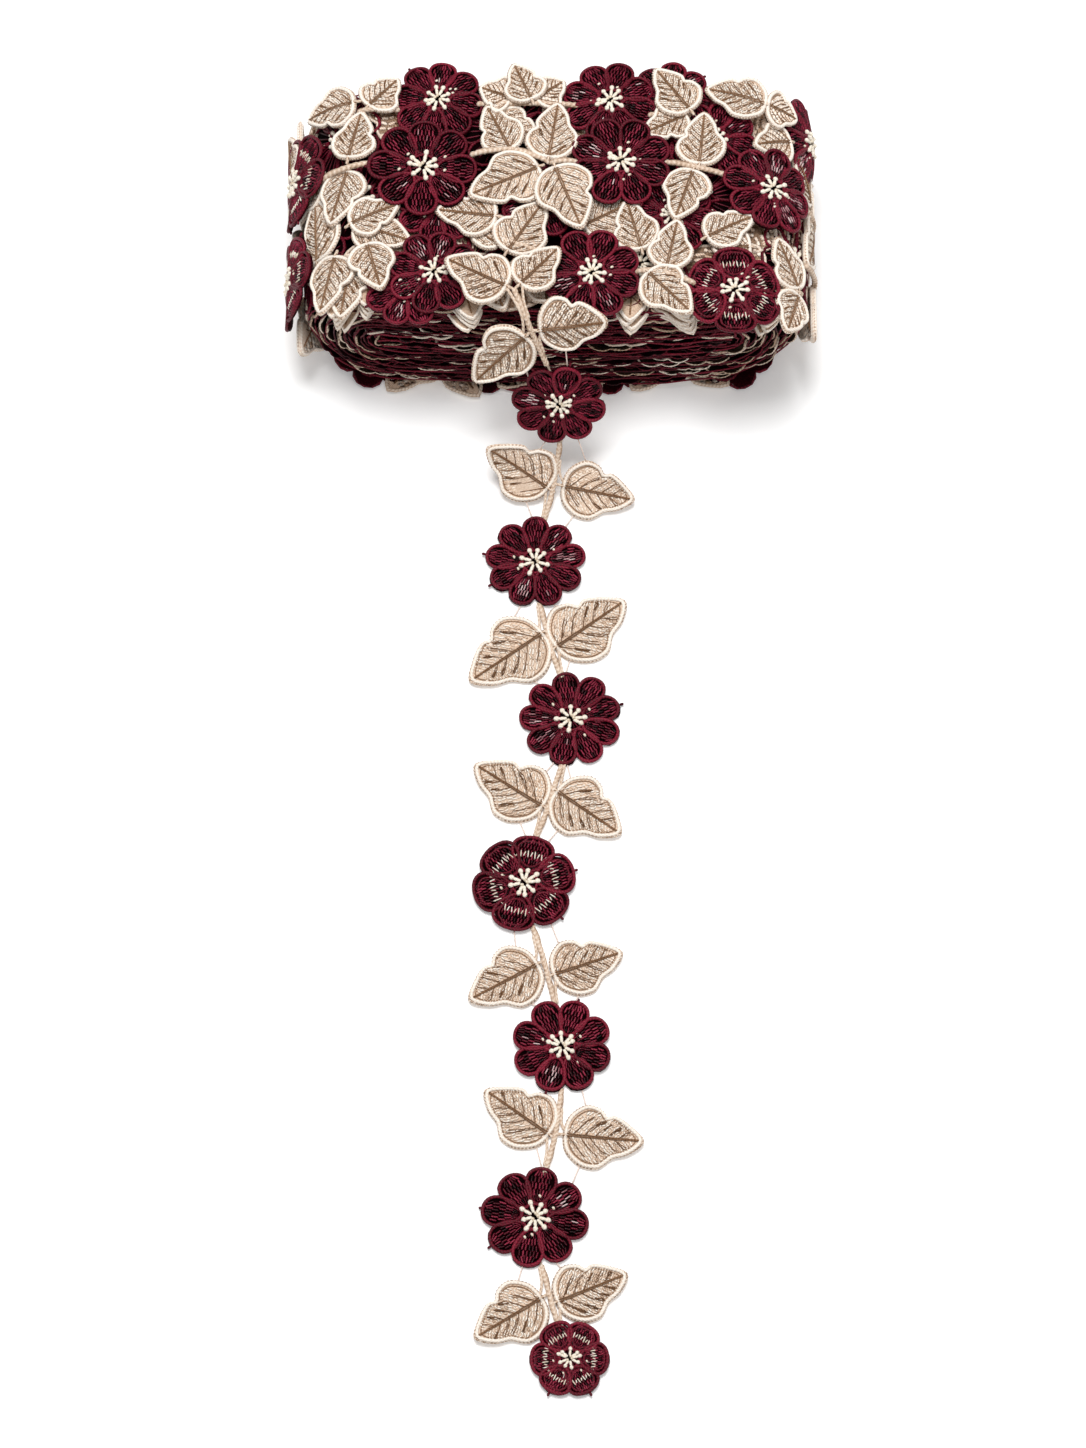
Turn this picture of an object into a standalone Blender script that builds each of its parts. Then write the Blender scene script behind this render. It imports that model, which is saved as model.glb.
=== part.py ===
"""Embroidered lace trim of flowers and leaf pairs, wound flat into a bundle with one loose end.

The strip is wound round and round along X, so the turns nest like long flat loops whose edges show at the front and the
back. The bundle stands on the flat of its lowest turns. The loose end leaves the top of the bundle, falls over the front
edge and lies on the surface. Metres, +Z up, the origin under the middle of the bundle.
"""

from collections import namedtuple
from math import cos, pi, radians, sin

import bmesh
import bpy
import numpy as np

MM = 0.001

# The bundle: length along the winding, depth along its axis, height of all its turns
BUNDLE_LENGTH = 120.5 * MM
BUNDLE_DEPTH = 62 * MM
BUNDLE_HEIGHT = 40.5 * MM

# The ends of the bundle are drawn in toward its middle, more at the front than at the back
DRAW_IN_FRONT = 8 * MM
DRAW_IN_BACK = 5 * MM

# The main turns that stand out as ridges on the front and the back
TURN_RIDGES = 5
RIDGE_DEPTH = 1.7 * MM
RIDGE_WAVE = 1.5 * MM
EDGE_ROUNDING = 1.6 * MM
SLIT_HALF_HEIGHT = 1.5 * MM
STEPS_ON_STRAIGHT = 9
STEPS_ON_TURN = 7

# The embroidered motifs of the strip
FLOWER_RADIUS = 11.4 * MM
FLOWER_THICKNESS = 2.0 * MM
FLOWER_EYE_RADIUS = 3.3 * MM
FLOWER_EYE_HEIGHT = 0.55 * MM
FLOWER_RIM = 0.9 * MM
LEAF_LENGTH = 19 * MM
LEAF_WIDTH = 14 * MM
LEAF_MIDDLE = 0.42
LEAF_THICKNESS = 1.75 * MM
LEAF_RIM = 1.2 * MM
LEAF_SET_OFF = 0.45 * MM
DISH_DEPTH = 0.4 * MM
STEM_WIDTH = 1.6 * MM
STEM_THICKNESS = 1.05 * MM
END_STEM_STEPS = 4
BUNDLE_STEM_STEPS = 6
SMALL_STEP = 0.07 * MM
ROOT_IN_BUNDLE = 1.1 * MM
PRESSED_HEIGHT = 0.15 * MM

# The loose end: where it starts on the bundle, and its fall to the surface
END_START_Y = -14 * MM
END_UNDERSIDE = 44.2 * MM
END_LEAVES_TOP_Y = -28 * MM
END_UPPER_BEND = 8 * MM
END_LOWER_BEND = 20 * MM
END_SLOPE = radians(64)

HALF_STRAIGHT = (BUNDLE_LENGTH - BUNDLE_HEIGHT) / 2
TURN_RADIUS = BUNDLE_HEIGHT / 2

# One leaf's outline from its base (0) to its tip (1), as shares of its length and its width on each side
LeafStation = namedtuple("LeafStation", "along right left")
LEAF_OUTLINE = (
    LeafStation(0.00, 0.00, 0.00),
    LeafStation(0.07, 0.34, 0.30),
    LeafStation(0.26, 0.50, 0.48),
    LeafStation(0.45, 0.45, 0.50),
    LeafStation(0.53, 0.34, 0.44),
    LeafStation(0.66, 0.35, 0.31),
    LeafStation(0.84, 0.21, 0.21),
    LeafStation(1.00, 0.00, 0.00),
)

# One petal's edge from the notch before it: shares of the flower's radius and of the petal's own turn
PetalPoint = namedtuple("PetalPoint", "reach turn")
FREE_PETAL = (PetalPoint(0.77, 0.0), PetalPoint(0.95, 0.24), PetalPoint(1.0, 0.5), PetalPoint(0.95, 0.76))
PRESSED_PETAL = (PetalPoint(0.77, 0.0), PetalPoint(0.99, 0.31), PetalPoint(0.99, 0.69))

# Flowers on the outer turns, in order along each strip. Along is measured over the bundle from the middle of its top,
# pairs is how many leaf pairs follow before the strip's next flower, and turn is the flower's own turn. All in mm.
StripFlower = namedtuple("StripFlower", "along across petals size turn pairs")
BACK_STRIP = (
    StripFlower(-103, 17, 8, 1.00, 0, 1),
    StripFlower(-66, 24, 8, 1.00, 0, 1),
    StripFlower(-27, 24, 8, 0.97, 14, 1),
    StripFlower(13.5, 24, 8, 0.98, 5, 2),
    StripFlower(71, 19, 8, 1.00, 0, 1),
    StripFlower(106, 22, 8, 1.00, 9, 0),
)
MIDDLE_STRIP = (
    StripFlower(-99, 4, 8, 1.00, 7, 1),
    StripFlower(-61, 9, 6, 1.02, 10, 1),
    StripFlower(-30.5, 6, 8, 1.05, 20, 2),
    StripFlower(15, 7, 8, 0.98, 0, 1),
    StripFlower(50, 0, 6, 1.03, 12, 1),
    StripFlower(90, 4, 8, 1.00, 4, 0),
)
FRONT_STRIP = (
    StripFlower(-103, -11, 8, 1.00, 16, 1),
    StripFlower(-65, -15, 6, 1.00, 25, 1),
    StripFlower(-27, -20, 8, 0.98, 8, 0),
    StripFlower(9, -19.5, 8, 1.00, 3, 1),
    StripFlower(41, -22, 6, 1.02, 0, 1),
    StripFlower(78, -14, 8, 1.00, 0, 0),
)
Strip = namedtuple("Strip", "name flowers lift")
STRIPS = (
    Strip("back", BACK_STRIP, 0.0 * MM),
    Strip("middle", MIDDLE_STRIP, 0.6 * MM),
    Strip("front", FRONT_STRIP, 1.2 * MM),
)
# How a leaf pair stands on its stem: the turn of each leaf away from square to the stem, alternating along a strip,
# and where the pair sits on its stretch of stem, past an even share of it
LEAF_LEAN = radians(36)
PRESSED_LEAF_SIZE = 0.96
PAIR_SHIFT = 0.02

# The loose end's flowers and leaf pairs, along it from its start and across it, in mm; leans in degrees
EndFlower = namedtuple("EndFlower", "along across petals size turn")
END_FLOWERS = (
    EndFlower(43.0, 1.0, 8, 0.92, 10),
    EndFlower(86.0, -4.7, 9, 0.97, 0),
    EndFlower(125.7, 3.6, 9, 1.02, 8),
    EndFlower(167.2, -7.3, 6, 1.08, 15),
    EndFlower(206.4, 1.7, 8, 0.98, 4),
    EndFlower(246.7, -4.6, 8, 1.02, 12),
    EndFlower(279.1, 3.1, 6, 0.80, 0),
)
EndPair = namedtuple("EndPair", "along across left_lean left_size right_lean right_size")
END_PAIRS = (
    EndPair(6.5, -9.3, -3, 0.95, 15, 0.74),
    EndPair(23.0, -5.5, 46, 0.98, -8, 0.90),
    EndPair(64.5, 0.0, -42, 0.93, 14, 0.93),
    EndPair(106.0, -1.4, 36, 1.02, -40, 1.00),
    EndPair(146.3, -1.2, -38, 1.02, 33, 0.98),
    EndPair(186.7, -2.3, 38, 1.03, -36, 0.96),
    EndPair(226.1, 0.1, -36, 0.95, 8, 0.96),
    EndPair(263.8, -1.5, 34, 0.98, -30, 0.90),
)
END_FIRST_STEM = (0.0, -9.0)

BURGUNDY = (0.16, 0.012, 0.030, 1.0)
CREAM = (0.74, 0.62, 0.47, 1.0)


def clear_scene():
    """Removes whatever the new file holds."""
    for item in list(bpy.data.objects):
        bpy.data.objects.remove(item)


def new_collection(name):
    """A collection under the scene's own."""
    collection = bpy.data.collections.new(name)
    bpy.context.scene.collection.children.link(collection)
    return collection


def thread_material(name, colour):
    """Matt thread in one colour."""
    material = bpy.data.materials.new(name)
    material.use_nodes = True
    shader = material.node_tree.nodes["Principled BSDF"]
    shader.inputs["Base Color"].default_value = colour
    shader.inputs["Roughness"].default_value = 0.7
    shader.inputs["Metallic"].default_value = 0.0
    material.diffuse_color = colour
    return material


def edge_front(x):
    """Y of the bundle's front edge, drawn in toward its ends."""
    return -BUNDLE_DEPTH / 2 + DRAW_IN_FRONT * (2 * x / BUNDLE_LENGTH) ** 4


def edge_back(x):
    """Y of the bundle's back edge, drawn in toward its ends."""
    return BUNDLE_DEPTH / 2 - DRAW_IN_BACK * (2 * x / BUNDLE_LENGTH) ** 4


def over_bundle(along, across, height):
    """The point at a distance along the outer turn, across it on Y, and at a height over it.

    The top is flat for half the straight on each side of its middle, goes round the end on a half circle, and comes back
    underneath. What would reach the surface that the bundle stands on is pressed into its lowest turns.
    """
    side = 1 if along >= 0 else -1
    past = abs(along) - HALF_STRAIGHT
    if past <= 0:
        return (along, across, BUNDLE_HEIGHT + height)
    angle = min(past / TURN_RADIUS, pi)
    reach = TURN_RADIUS + height
    returned = max(past - pi * TURN_RADIUS, 0)
    x = HALF_STRAIGHT + reach * sin(angle) - returned
    return (side * x, across, max(TURN_RADIUS + reach * cos(angle), PRESSED_HEIGHT))


def end_lengths():
    """Lengths of the loose end's parts: on top, round the upper bend, down the slope, round the lower bend."""
    bends = (END_UPPER_BEND + END_LOWER_BEND) * (1 - cos(END_SLOPE))
    return (
        END_START_Y - END_LEAVES_TOP_Y,
        END_UPPER_BEND * END_SLOPE,
        (END_UNDERSIDE - bends) / sin(END_SLOPE),
        END_LOWER_BEND * END_SLOPE,
    )


def along_loose_end(along, across, height):
    """The point at a distance along the loose end, across it on X, and at a height over its underside."""
    top, upper, slope, lower = end_lengths()
    y, z, angle = END_START_Y, END_UNDERSIDE, 0.0
    step = min(along, top)
    y -= step
    along -= step
    if along > 0:
        angle = min(along, upper) / END_UPPER_BEND
        y -= END_UPPER_BEND * sin(angle)
        z -= END_UPPER_BEND * (1 - cos(angle))
        along -= upper
    if along > 0:
        step = min(along, slope)
        y -= step * cos(END_SLOPE)
        z -= step * sin(END_SLOPE)
        along -= slope
    if along > 0:
        angle = END_SLOPE - min(along, lower) / END_LOWER_BEND
        y -= END_LOWER_BEND * (sin(END_SLOPE) - sin(angle))
        z -= END_LOWER_BEND * (cos(angle) - cos(END_SLOPE))
        along -= lower
    if along > 0:
        y -= along
        z = 0.0
    return (across, y - height * sin(angle), z + height * cos(angle))


def stacked_rings(name, rings, first_middle=None, last_middle=None):
    """A closed body through rings of equal length, the first and the last closed by a fan to a middle point."""
    mesh = bpy.data.meshes.new(name)
    body = bmesh.new()
    loops = [[body.verts.new(point) for point in ring] for ring in rings]
    for lower, upper in zip(loops, loops[1:]):
        for i, corner in enumerate(lower):
            j = (i + 1) % len(lower)
            body.faces.new((corner, lower[j], upper[j], upper[i]))
    for loop, order, given in ((loops[0], -1, first_middle), (loops[-1], 1, last_middle)):
        middle = body.verts.new(given or np.mean([corner.co for corner in loop], axis=0))
        for i, corner in enumerate(loop):
            fan = (corner, loop[(i + 1) % len(loop)], middle)
            body.faces.new(fan[::order])
    bmesh.ops.recalc_face_normals(body, faces=body.faces)
    body.to_mesh(mesh)
    body.free()
    return mesh


def flower_outline(petals, radius, petal_points):
    """Radius and angle of a flower's edge, a round petal's few points at a time, the first in the notch before it."""
    return [
        (radius * point.reach, 2 * pi * (petal + point.turn) / petals)
        for petal in range(petals)
        for point in petal_points
    ]


def flower_mesh(name, place, centre, flower, petal_points, base, lift):
    """A flower plate with dished petals inside a raised rim, rising again to its middle.

    A flower with a full petal edge also has a round raised eye.
    """
    outline = flower_outline(flower.petals, FLOWER_RADIUS * flower.size, petal_points)
    turn = radians(flower.turn)
    eye = FLOWER_THICKNESS + FLOWER_EYE_HEIGHT
    levels = [
        (1.0, 0.0, base),
        (1.0, 0.0, FLOWER_THICKNESS),
        (1.0, -FLOWER_RIM, FLOWER_THICKNESS - DISH_DEPTH),
    ]
    if petal_points is FREE_PETAL:
        levels.append((0.0, FLOWER_EYE_RADIUS, eye))
    rings = []
    for share, offset, height in levels:
        ring = []
        for radius, angle in outline:
            reach = share * radius + offset
            u = centre[0] + reach * cos(angle + turn)
            v = centre[1] + reach * sin(angle + turn)
            ring.append(place(u, v, lift + height))
        rings.append(ring)
    return stacked_rings(name, rings, last_middle=place(*centre, lift + eye))


def leaf_outline(length, width):
    """The leaf's edge as a loop round it, in its own length and width, base first."""
    right = [(s.along * length, s.right * width) for s in LEAF_OUTLINE]
    left = [(s.along * length, -s.left * width) for s in LEAF_OUTLINE[-2:0:-1]]
    return right + left


def leaf_mesh(name, place, node, direction, side, size, rim, base, lift):
    """A leaf plate, dished inside its edge, set with its base at a node of the stem and pointing along a direction.

    With a rim of some width the dish has a flat floor. With none it slopes from the edge to the middle.
    """
    length, width = LEAF_LENGTH * size, LEAF_WIDTH * size
    outline = leaf_outline(length, width)
    middle = length * LEAF_MIDDLE
    dish = LEAF_THICKNESS - DISH_DEPTH
    levels = [(1.0, base), (1.0, LEAF_THICKNESS)]
    if rim:
        levels.append((1 - 2 * rim / width, dish))
    rings = []
    for share, height in levels:
        ring = []
        for p, q in outline:
            p, q = LEAF_SET_OFF + middle + share * (p - middle), side * share * q
            u = node[0] + p * cos(direction) - q * sin(direction)
            v = node[1] + p * sin(direction) + q * cos(direction)
            ring.append(place(u, v, lift + height))
        rings.append(ring)
    reach = LEAF_SET_OFF + middle
    floor = place(node[0] + reach * cos(direction), node[1] + reach * sin(direction), lift + dish)
    return stacked_rings(name, rings, last_middle=floor)


def stem_mesh(name, place, points, base, lift, steps):
    """A square cord through flat points, each stretch divided so that it follows the bends it lies on."""
    path = []
    for start, end in zip(points, points[1:]):
        for i in range(steps):
            share = i / steps
            path.append((start[0] + share * (end[0] - start[0]), start[1] + share * (end[1] - start[1])))
    path.append(points[-1])
    path = np.array(path)
    run = np.gradient(path, axis=0)
    run /= np.linalg.norm(run, axis=1)[:, None]
    half = STEM_WIDTH / 2
    rings = []
    for (u, v), (du, dv) in zip(path, run):
        sides = ((-half, base), (half, base), (half, STEM_THICKNESS), (-half, STEM_THICKNESS))
        rings.append([place(u - q * dv, v + q * du, lift + height) for q, height in sides])
    return stacked_rings(name, rings)


def end_motifs():
    """The plates of the loose end: flowers, leaf pairs and the stem from each motif to the next."""
    meshes = []
    for number, flower in enumerate(END_FLOWERS):
        centre = (flower.along * MM, flower.across * MM)
        name = f"end flower {number}"
        meshes.append(flower_mesh(name, along_loose_end, centre, flower, FREE_PETAL, 0.0, 0.0))
    for number, pair in enumerate(END_PAIRS):
        node = (pair.along * MM, pair.across * MM)
        sides = ((-1, pair.left_lean, pair.left_size), (1, pair.right_lean, pair.right_size))
        for side, lean, size in sides:
            direction = side * (pi / 2 - radians(lean))
            lift = SMALL_STEP * (2 + side)
            meshes.append(leaf_mesh(
                f"end leaf {number} {side}", along_loose_end, node, direction, side, size, LEAF_RIM, 0.0, lift))
    motifs = sorted(END_FLOWERS + END_PAIRS, key=lambda motif: motif.along)
    stops = [END_FIRST_STEM] + [(motif.along, motif.across) for motif in motifs]
    points = [(along * MM, across * MM) for along, across in stops]
    meshes.append(stem_mesh("end stem", along_loose_end, points, 0.0, SMALL_STEP / 2, END_STEM_STEPS))
    return meshes


def strip_motifs(strip):
    """The plates of one outer strip of the bundle, rooted in it: flowers, and leaf pairs with stems between them."""
    tilt = 1
    root = -ROOT_IN_BUNDLE - strip.lift
    stops = [(flower.along * MM, flower.across * MM) for flower in strip.flowers]
    meshes = [stem_mesh(
        f"{strip.name} stem", over_bundle, stops, root, strip.lift - SMALL_STEP / 2, BUNDLE_STEM_STEPS)]
    for number, flower in enumerate(strip.flowers):
        centre = (flower.along * MM, flower.across * MM)
        name = f"{strip.name} flower {number}"
        meshes.append(flower_mesh(name, over_bundle, centre, flower, PRESSED_PETAL, root, strip.lift))
        if number + 1 == len(strip.flowers):
            continue
        after = strip.flowers[number + 1]
        gap = np.array([after.along - flower.along, after.across - flower.across]) * MM
        heading = np.arctan2(gap[1], gap[0])
        for pair in range(flower.pairs):
            share = (pair + 1) / (flower.pairs + 1) + PAIR_SHIFT
            node = (centre[0] + share * gap[0], centre[1] + share * gap[1])
            for side in (-1, 1):
                direction = heading + side * (pi / 2) + tilt * LEAF_LEAN
                name = f"{strip.name} leaf {number} {pair} {side}"
                lift = strip.lift + side * SMALL_STEP
                meshes.append(leaf_mesh(
                    name, over_bundle, node, direction, side, PRESSED_LEAF_SIZE, 0.0, root, lift))
            tilt = -tilt
    return meshes


def turn_line(inset):
    """Points round one turn of the winding, set in from the outer one, anticlockwise seen from the front."""
    radius = TURN_RADIUS - inset
    points = []
    for side in (1, -1):
        for step in range(STEPS_ON_TURN):
            angle = side * (pi / 2) - pi * step / STEPS_ON_TURN
            points.append((side * HALF_STRAIGHT + radius * cos(angle), TURN_RADIUS + radius * sin(angle)))
        for step in range(STEPS_ON_STRAIGHT):
            share = 1 - 2 * step / STEPS_ON_STRAIGHT
            points.append((side * HALF_STRAIGHT * share, TURN_RADIUS - side * radius))
    return points


def ridge_wave(x, z):
    """How far the turns' edges wander in and out, from 0 to the full wave: three slow waves of unlike lengths."""
    wander = sin(150 * x + 1.1) + sin(310 * x + 260 * z) + sin(90 * z - 70 * x)
    return RIDGE_WAVE * (wander + 3) / 6


def bundle_core():
    """The wound form: rings from the innermost turn of the back, out over the side, to the innermost of the front."""
    ridge_step = (TURN_RADIUS - SLIT_HALF_HEIGHT - EDGE_ROUNDING) / TURN_RIDGES
    insets = [EDGE_ROUNDING + ridge_step * n / 2 for n in range(2 * TURN_RIDGES + 1)]
    rows = []
    for n in reversed(range(len(insets))):
        rows.append((insets[n], edge_back, -1, RIDGE_DEPTH if n % 2 else 0.0))
    rows.append((0.0, edge_back, -1, EDGE_ROUNDING))
    rows.append((0.0, edge_front, 1, EDGE_ROUNDING))
    for n in range(len(insets)):
        rows.append((insets[n], edge_front, 1, RIDGE_DEPTH if n % 2 else 0.0))
    rings = []
    for inset, edge, inward, depth in rows:
        ring = []
        for x, z in turn_line(inset):
            y = edge(x) + inward * (depth + ridge_wave(x, z))
            ring.append((x, y, z))
        rings.append(ring)
    return stacked_rings("bundle core", rings)


def joined_object(name, meshes, material, parts, helpers):
    """One body from overlapping plates: the first mesh with all the others united to it."""
    body = bpy.data.objects.new(name, meshes[0])
    body.data.name = name
    body.data.materials.append(material)
    parts.objects.link(body)
    group = bpy.data.collections.new(name + " plates")
    helpers.children.link(group)
    for mesh in meshes[1:]:
        plate = bpy.data.objects.new(mesh.name, mesh)
        plate.hide_render = True
        plate.display_type = "WIRE"
        group.objects.link(plate)
    union = body.modifiers.new("Unite plates", "BOOLEAN")
    union.operation = "UNION"
    union.operand_type = "COLLECTION"
    union.collection = group
    union.solver = "EXACT"
    return body


def main():
    clear_scene()
    parts = new_collection("embroidered lace trim")
    helpers = new_collection("plates to unite")
    burgundy = thread_material("burgundy thread", BURGUNDY)
    cream = thread_material("cream thread", CREAM)
    bundle_meshes = [bundle_core()]
    for strip in STRIPS:
        bundle_meshes += strip_motifs(strip)
    joined_object("wound_bundle", bundle_meshes, burgundy, parts, helpers)
    joined_object("loose_end", end_motifs(), cream, parts, helpers)


main()
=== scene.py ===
# %% [markdown]
# Embroidered lace trim, wound flat, with one loose end
#
# The real trim is one long strip of chemical lace: flowers and leaf pairs stitched in shiny yarn on a cloth
# that is then washed away, so that only the thread stays. Here the strip is dressed around its solid model.
# Each motif is worked out flat, as it comes off the embroidery machine, and is then laid over the bundle or
# along the loose end by one mapping. That is why every stitch follows the bend it lies on.

from collections import namedtuple
from functools import partial

import bpy
import numpy as np
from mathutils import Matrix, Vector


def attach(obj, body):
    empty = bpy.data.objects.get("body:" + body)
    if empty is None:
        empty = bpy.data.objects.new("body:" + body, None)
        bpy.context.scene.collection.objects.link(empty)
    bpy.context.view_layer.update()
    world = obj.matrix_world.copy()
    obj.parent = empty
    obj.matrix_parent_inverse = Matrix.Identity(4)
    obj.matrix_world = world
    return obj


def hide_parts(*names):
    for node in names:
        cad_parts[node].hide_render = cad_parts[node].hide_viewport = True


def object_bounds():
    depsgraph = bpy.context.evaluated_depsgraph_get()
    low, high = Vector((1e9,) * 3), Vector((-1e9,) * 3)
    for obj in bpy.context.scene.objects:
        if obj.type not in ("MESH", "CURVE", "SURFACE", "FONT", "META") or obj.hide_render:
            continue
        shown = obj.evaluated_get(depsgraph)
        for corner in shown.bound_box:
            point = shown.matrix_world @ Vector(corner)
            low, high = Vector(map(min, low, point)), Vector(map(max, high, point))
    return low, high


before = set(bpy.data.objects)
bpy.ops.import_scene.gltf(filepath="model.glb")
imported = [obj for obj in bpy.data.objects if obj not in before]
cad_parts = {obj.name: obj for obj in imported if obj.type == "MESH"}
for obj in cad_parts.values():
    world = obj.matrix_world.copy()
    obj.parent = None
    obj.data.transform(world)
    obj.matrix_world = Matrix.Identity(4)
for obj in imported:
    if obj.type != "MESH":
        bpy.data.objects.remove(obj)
cad_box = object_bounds()
MM = 0.001


def mm(*numbers):
    """Millimetres as an array of metres."""
    return np.array(numbers) * MM


cad_size = [round(float(side) / MM, 1) for side in cad_box[1] - cad_box[0]]
print("solids:", sorted(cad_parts), "box:", cad_size, "mm")

# %% [markdown]
# The camera
#
# A camera is made before anything else, because it settles what has to be finely made. The picture looks
# down on the trim at a steep angle from far away. The long side of the picture is its height, so Blender
# measures the sensor's 36 mm along that side.

# %% Camera
VIEW_ELEVATION = np.radians(66.0)
VIEW_DISTANCE = 1.25
VIEW_TARGET = np.array([-0.0028, -0.1169, 0.0])
VIEW_LENS = 135.1
VIEW_SENSOR = 36.0
NEAREST_SEEN = 0.05

camera = bpy.data.objects.new("camera", bpy.data.cameras.new("camera"))
camera.data.lens = VIEW_LENS
camera.data.sensor_width = VIEW_SENSOR
camera.location = VIEW_TARGET + VIEW_DISTANCE * np.array([0, -np.cos(VIEW_ELEVATION), np.sin(VIEW_ELEVATION)])
camera.rotation_euler = (np.pi / 2 - VIEW_ELEVATION, 0, 0)
camera.data.clip_start = NEAREST_SEEN
bpy.context.scene.collection.objects.link(camera)
bpy.context.scene.camera = camera
print("camera at", [round(float(c), 3) for c in camera.location])

# %% [markdown]
# From the flat strip to its place
#
# The strip is flexible across its length and hardly stretches, so a flat point has a distance along the
# strip, a distance across it and a height over its underside. Two functions take such points to their
# place. One goes round the bundle: flat on top, a half circle at the end and flat again below. The other
# follows the loose end off the top, down over the front edge and out along the surface. The sizes are those
# of the solids.

# %% Sizes of the bundle and of the fall of the loose end
BUNDLE_LENGTH = 120.5 * MM
BUNDLE_DEPTH = 62 * MM
BUNDLE_HEIGHT = 40.5 * MM
TURN_RADIUS = BUNDLE_HEIGHT / 2
HALF_STRAIGHT = (BUNDLE_LENGTH - BUNDLE_HEIGHT) / 2
DRAW_IN_FRONT = 8 * MM
DRAW_IN_BACK = 5 * MM
PRESSED_HEIGHT = 0.12 * MM
OUTER_TURN_RISE = 1.8 * MM
END_START_Y = -14 * MM
END_UNDERSIDE = 44.2 * MM
END_TOP_LENGTH = 14 * MM
END_UPPER_BEND = 8 * MM
END_LOWER_BEND = 20 * MM
END_SLOPE = np.radians(64)
END_LANDING = 77.5 * MM


def edge_front(x):
    """Y of the bundle's front edge: straight, then drawn in with the fourth power of the distance from the
    middle."""
    return -BUNDLE_DEPTH / 2 + DRAW_IN_FRONT * (2 * x / BUNDLE_LENGTH) ** 4


def edge_back(x):
    """Y of the bundle's back edge, drawn in the same way but less."""
    return BUNDLE_DEPTH / 2 - DRAW_IN_BACK * (2 * x / BUNDLE_LENGTH) ** 4


def round_turn(points, inset=0.0):
    """Flat points to their place on one turn of the winding.

    The turn is a stadium: two straights joined by half circles, each of the turn's own radius. Past the end
    of the top straight the point turns by an angle, its distance past over the radius, and its height
    lengthens the radius. The outer turn is pressed up by the surface below, by its own thickness, as it
    comes round underneath.
    """
    along, across, height = points.T
    radius = TURN_RADIUS - inset
    side = np.where(along >= 0, 1.0, -1.0)
    past = np.abs(along) - HALF_STRAIGHT
    angle = np.clip(past / radius, 0, np.pi)
    returned = np.maximum(past - np.pi * radius, 0)
    reach = radius + height
    x = np.minimum(np.abs(along), HALF_STRAIGHT) + np.where(past > 0, reach * np.sin(angle) - returned, 0)
    below = np.clip(angle / (np.pi / 2) - 1, 0, 1)
    rise = OUTER_TURN_RISE * below ** 2 * (3 - 2 * below) if inset == 0 else 0.0
    z = np.maximum(TURN_RADIUS + reach * np.cos(angle) + rise, PRESSED_HEIGHT)
    return np.column_stack([side * x, across, z])


def along_loose_end(points):
    """Flat points to their place on the loose end.

    The line they follow is flat, bends down on a small circle, goes down a slope, bends flat again on a
    larger circle and runs out on the surface. Each stretch takes its share of the distance, and the height
    stands square to the line.
    """
    along, across, height = points.T
    bends = (END_UPPER_BEND + END_LOWER_BEND) * (1 - np.cos(END_SLOPE))
    slope = (END_UNDERSIDE - bends) / np.sin(END_SLOPE)
    ends = np.cumsum([0, END_TOP_LENGTH, END_UPPER_BEND * END_SLOPE, slope, END_LOWER_BEND * END_SLOPE])
    on_top = np.minimum(along, ends[1])
    turned = np.clip(along - ends[1], 0, ends[2] - ends[1]) / END_UPPER_BEND
    down = np.clip(along - ends[2], 0, slope)
    back = END_SLOPE - np.clip(along - ends[3], 0, ends[4] - ends[3]) / END_LOWER_BEND
    on_floor = np.maximum(along - ends[4], 0)
    angle = np.where(along > ends[3], back, turned)
    y = END_START_Y - on_top - END_UPPER_BEND * np.sin(turned) - down * np.cos(END_SLOPE) - on_floor
    y -= END_LOWER_BEND * (np.sin(END_SLOPE) - np.sin(back))
    z = END_UNDERSIDE - END_UPPER_BEND * (1 - np.cos(turned)) - down * np.sin(END_SLOPE)
    z -= END_LOWER_BEND * (np.cos(back) - np.cos(END_SLOPE))
    return np.column_stack([across, y - height * np.sin(angle), np.maximum(z + height * np.cos(angle), 0)])


landing = along_loose_end(np.array([[END_LANDING, 0, 0]]))[0] / MM
print(f"the loose end reaches the surface at y = {landing[1]:.1f} mm, z = {landing[2]:.2f} mm")

# %% [markdown]
# Yarn
#
# Embroidery is thousands of stitches. Each could be a curve with a bevel, but thousands of curves are slow.
# Here a stitch is a small closed body of a few faces and all stitches of one kind are worked out at once,
# as arrays. A body also keeps two facts for its material: how far along and round the yarn each point is,
# and a tone from dark to light that differs from stitch to stitch.

# %% Bodies of yarn
Body = namedtuple("Body", "points faces yarn tone")
CORD_TIP = 0.7
STEM_STEP = 0.5 * MM
STEM_TWIST = 13 * MM
PLATE_BOTTOM = 0.30 * MM
STITCH_FACES = np.array([
    (0, 2, 1), (0, 3, 2), (0, 1, 3), (1, 2, 5), (1, 5, 4), (2, 3, 6), (2, 6, 5), (3, 1, 4), (3, 4, 6),
    (4, 5, 7), (5, 6, 7), (6, 4, 7),
])


def spread(value, count):
    """One number for all, or an array with one for each."""
    return np.broadcast_to(np.asarray(value, float), (count,))


def raised(flat, height):
    """Flat points with a height, one for all or one for each."""
    return np.column_stack([flat, spread(height, len(flat))])


def unit(vectors):
    """Each row at a length of one."""
    return vectors / np.maximum(np.linalg.norm(vectors, axis=1), 1e-9)[:, None]


def distance_along(path):
    """How far each point of a path is from its first, leg by leg."""
    return np.concatenate([[0], np.cumsum(np.linalg.norm(np.diff(path, axis=0), axis=1))])


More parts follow.
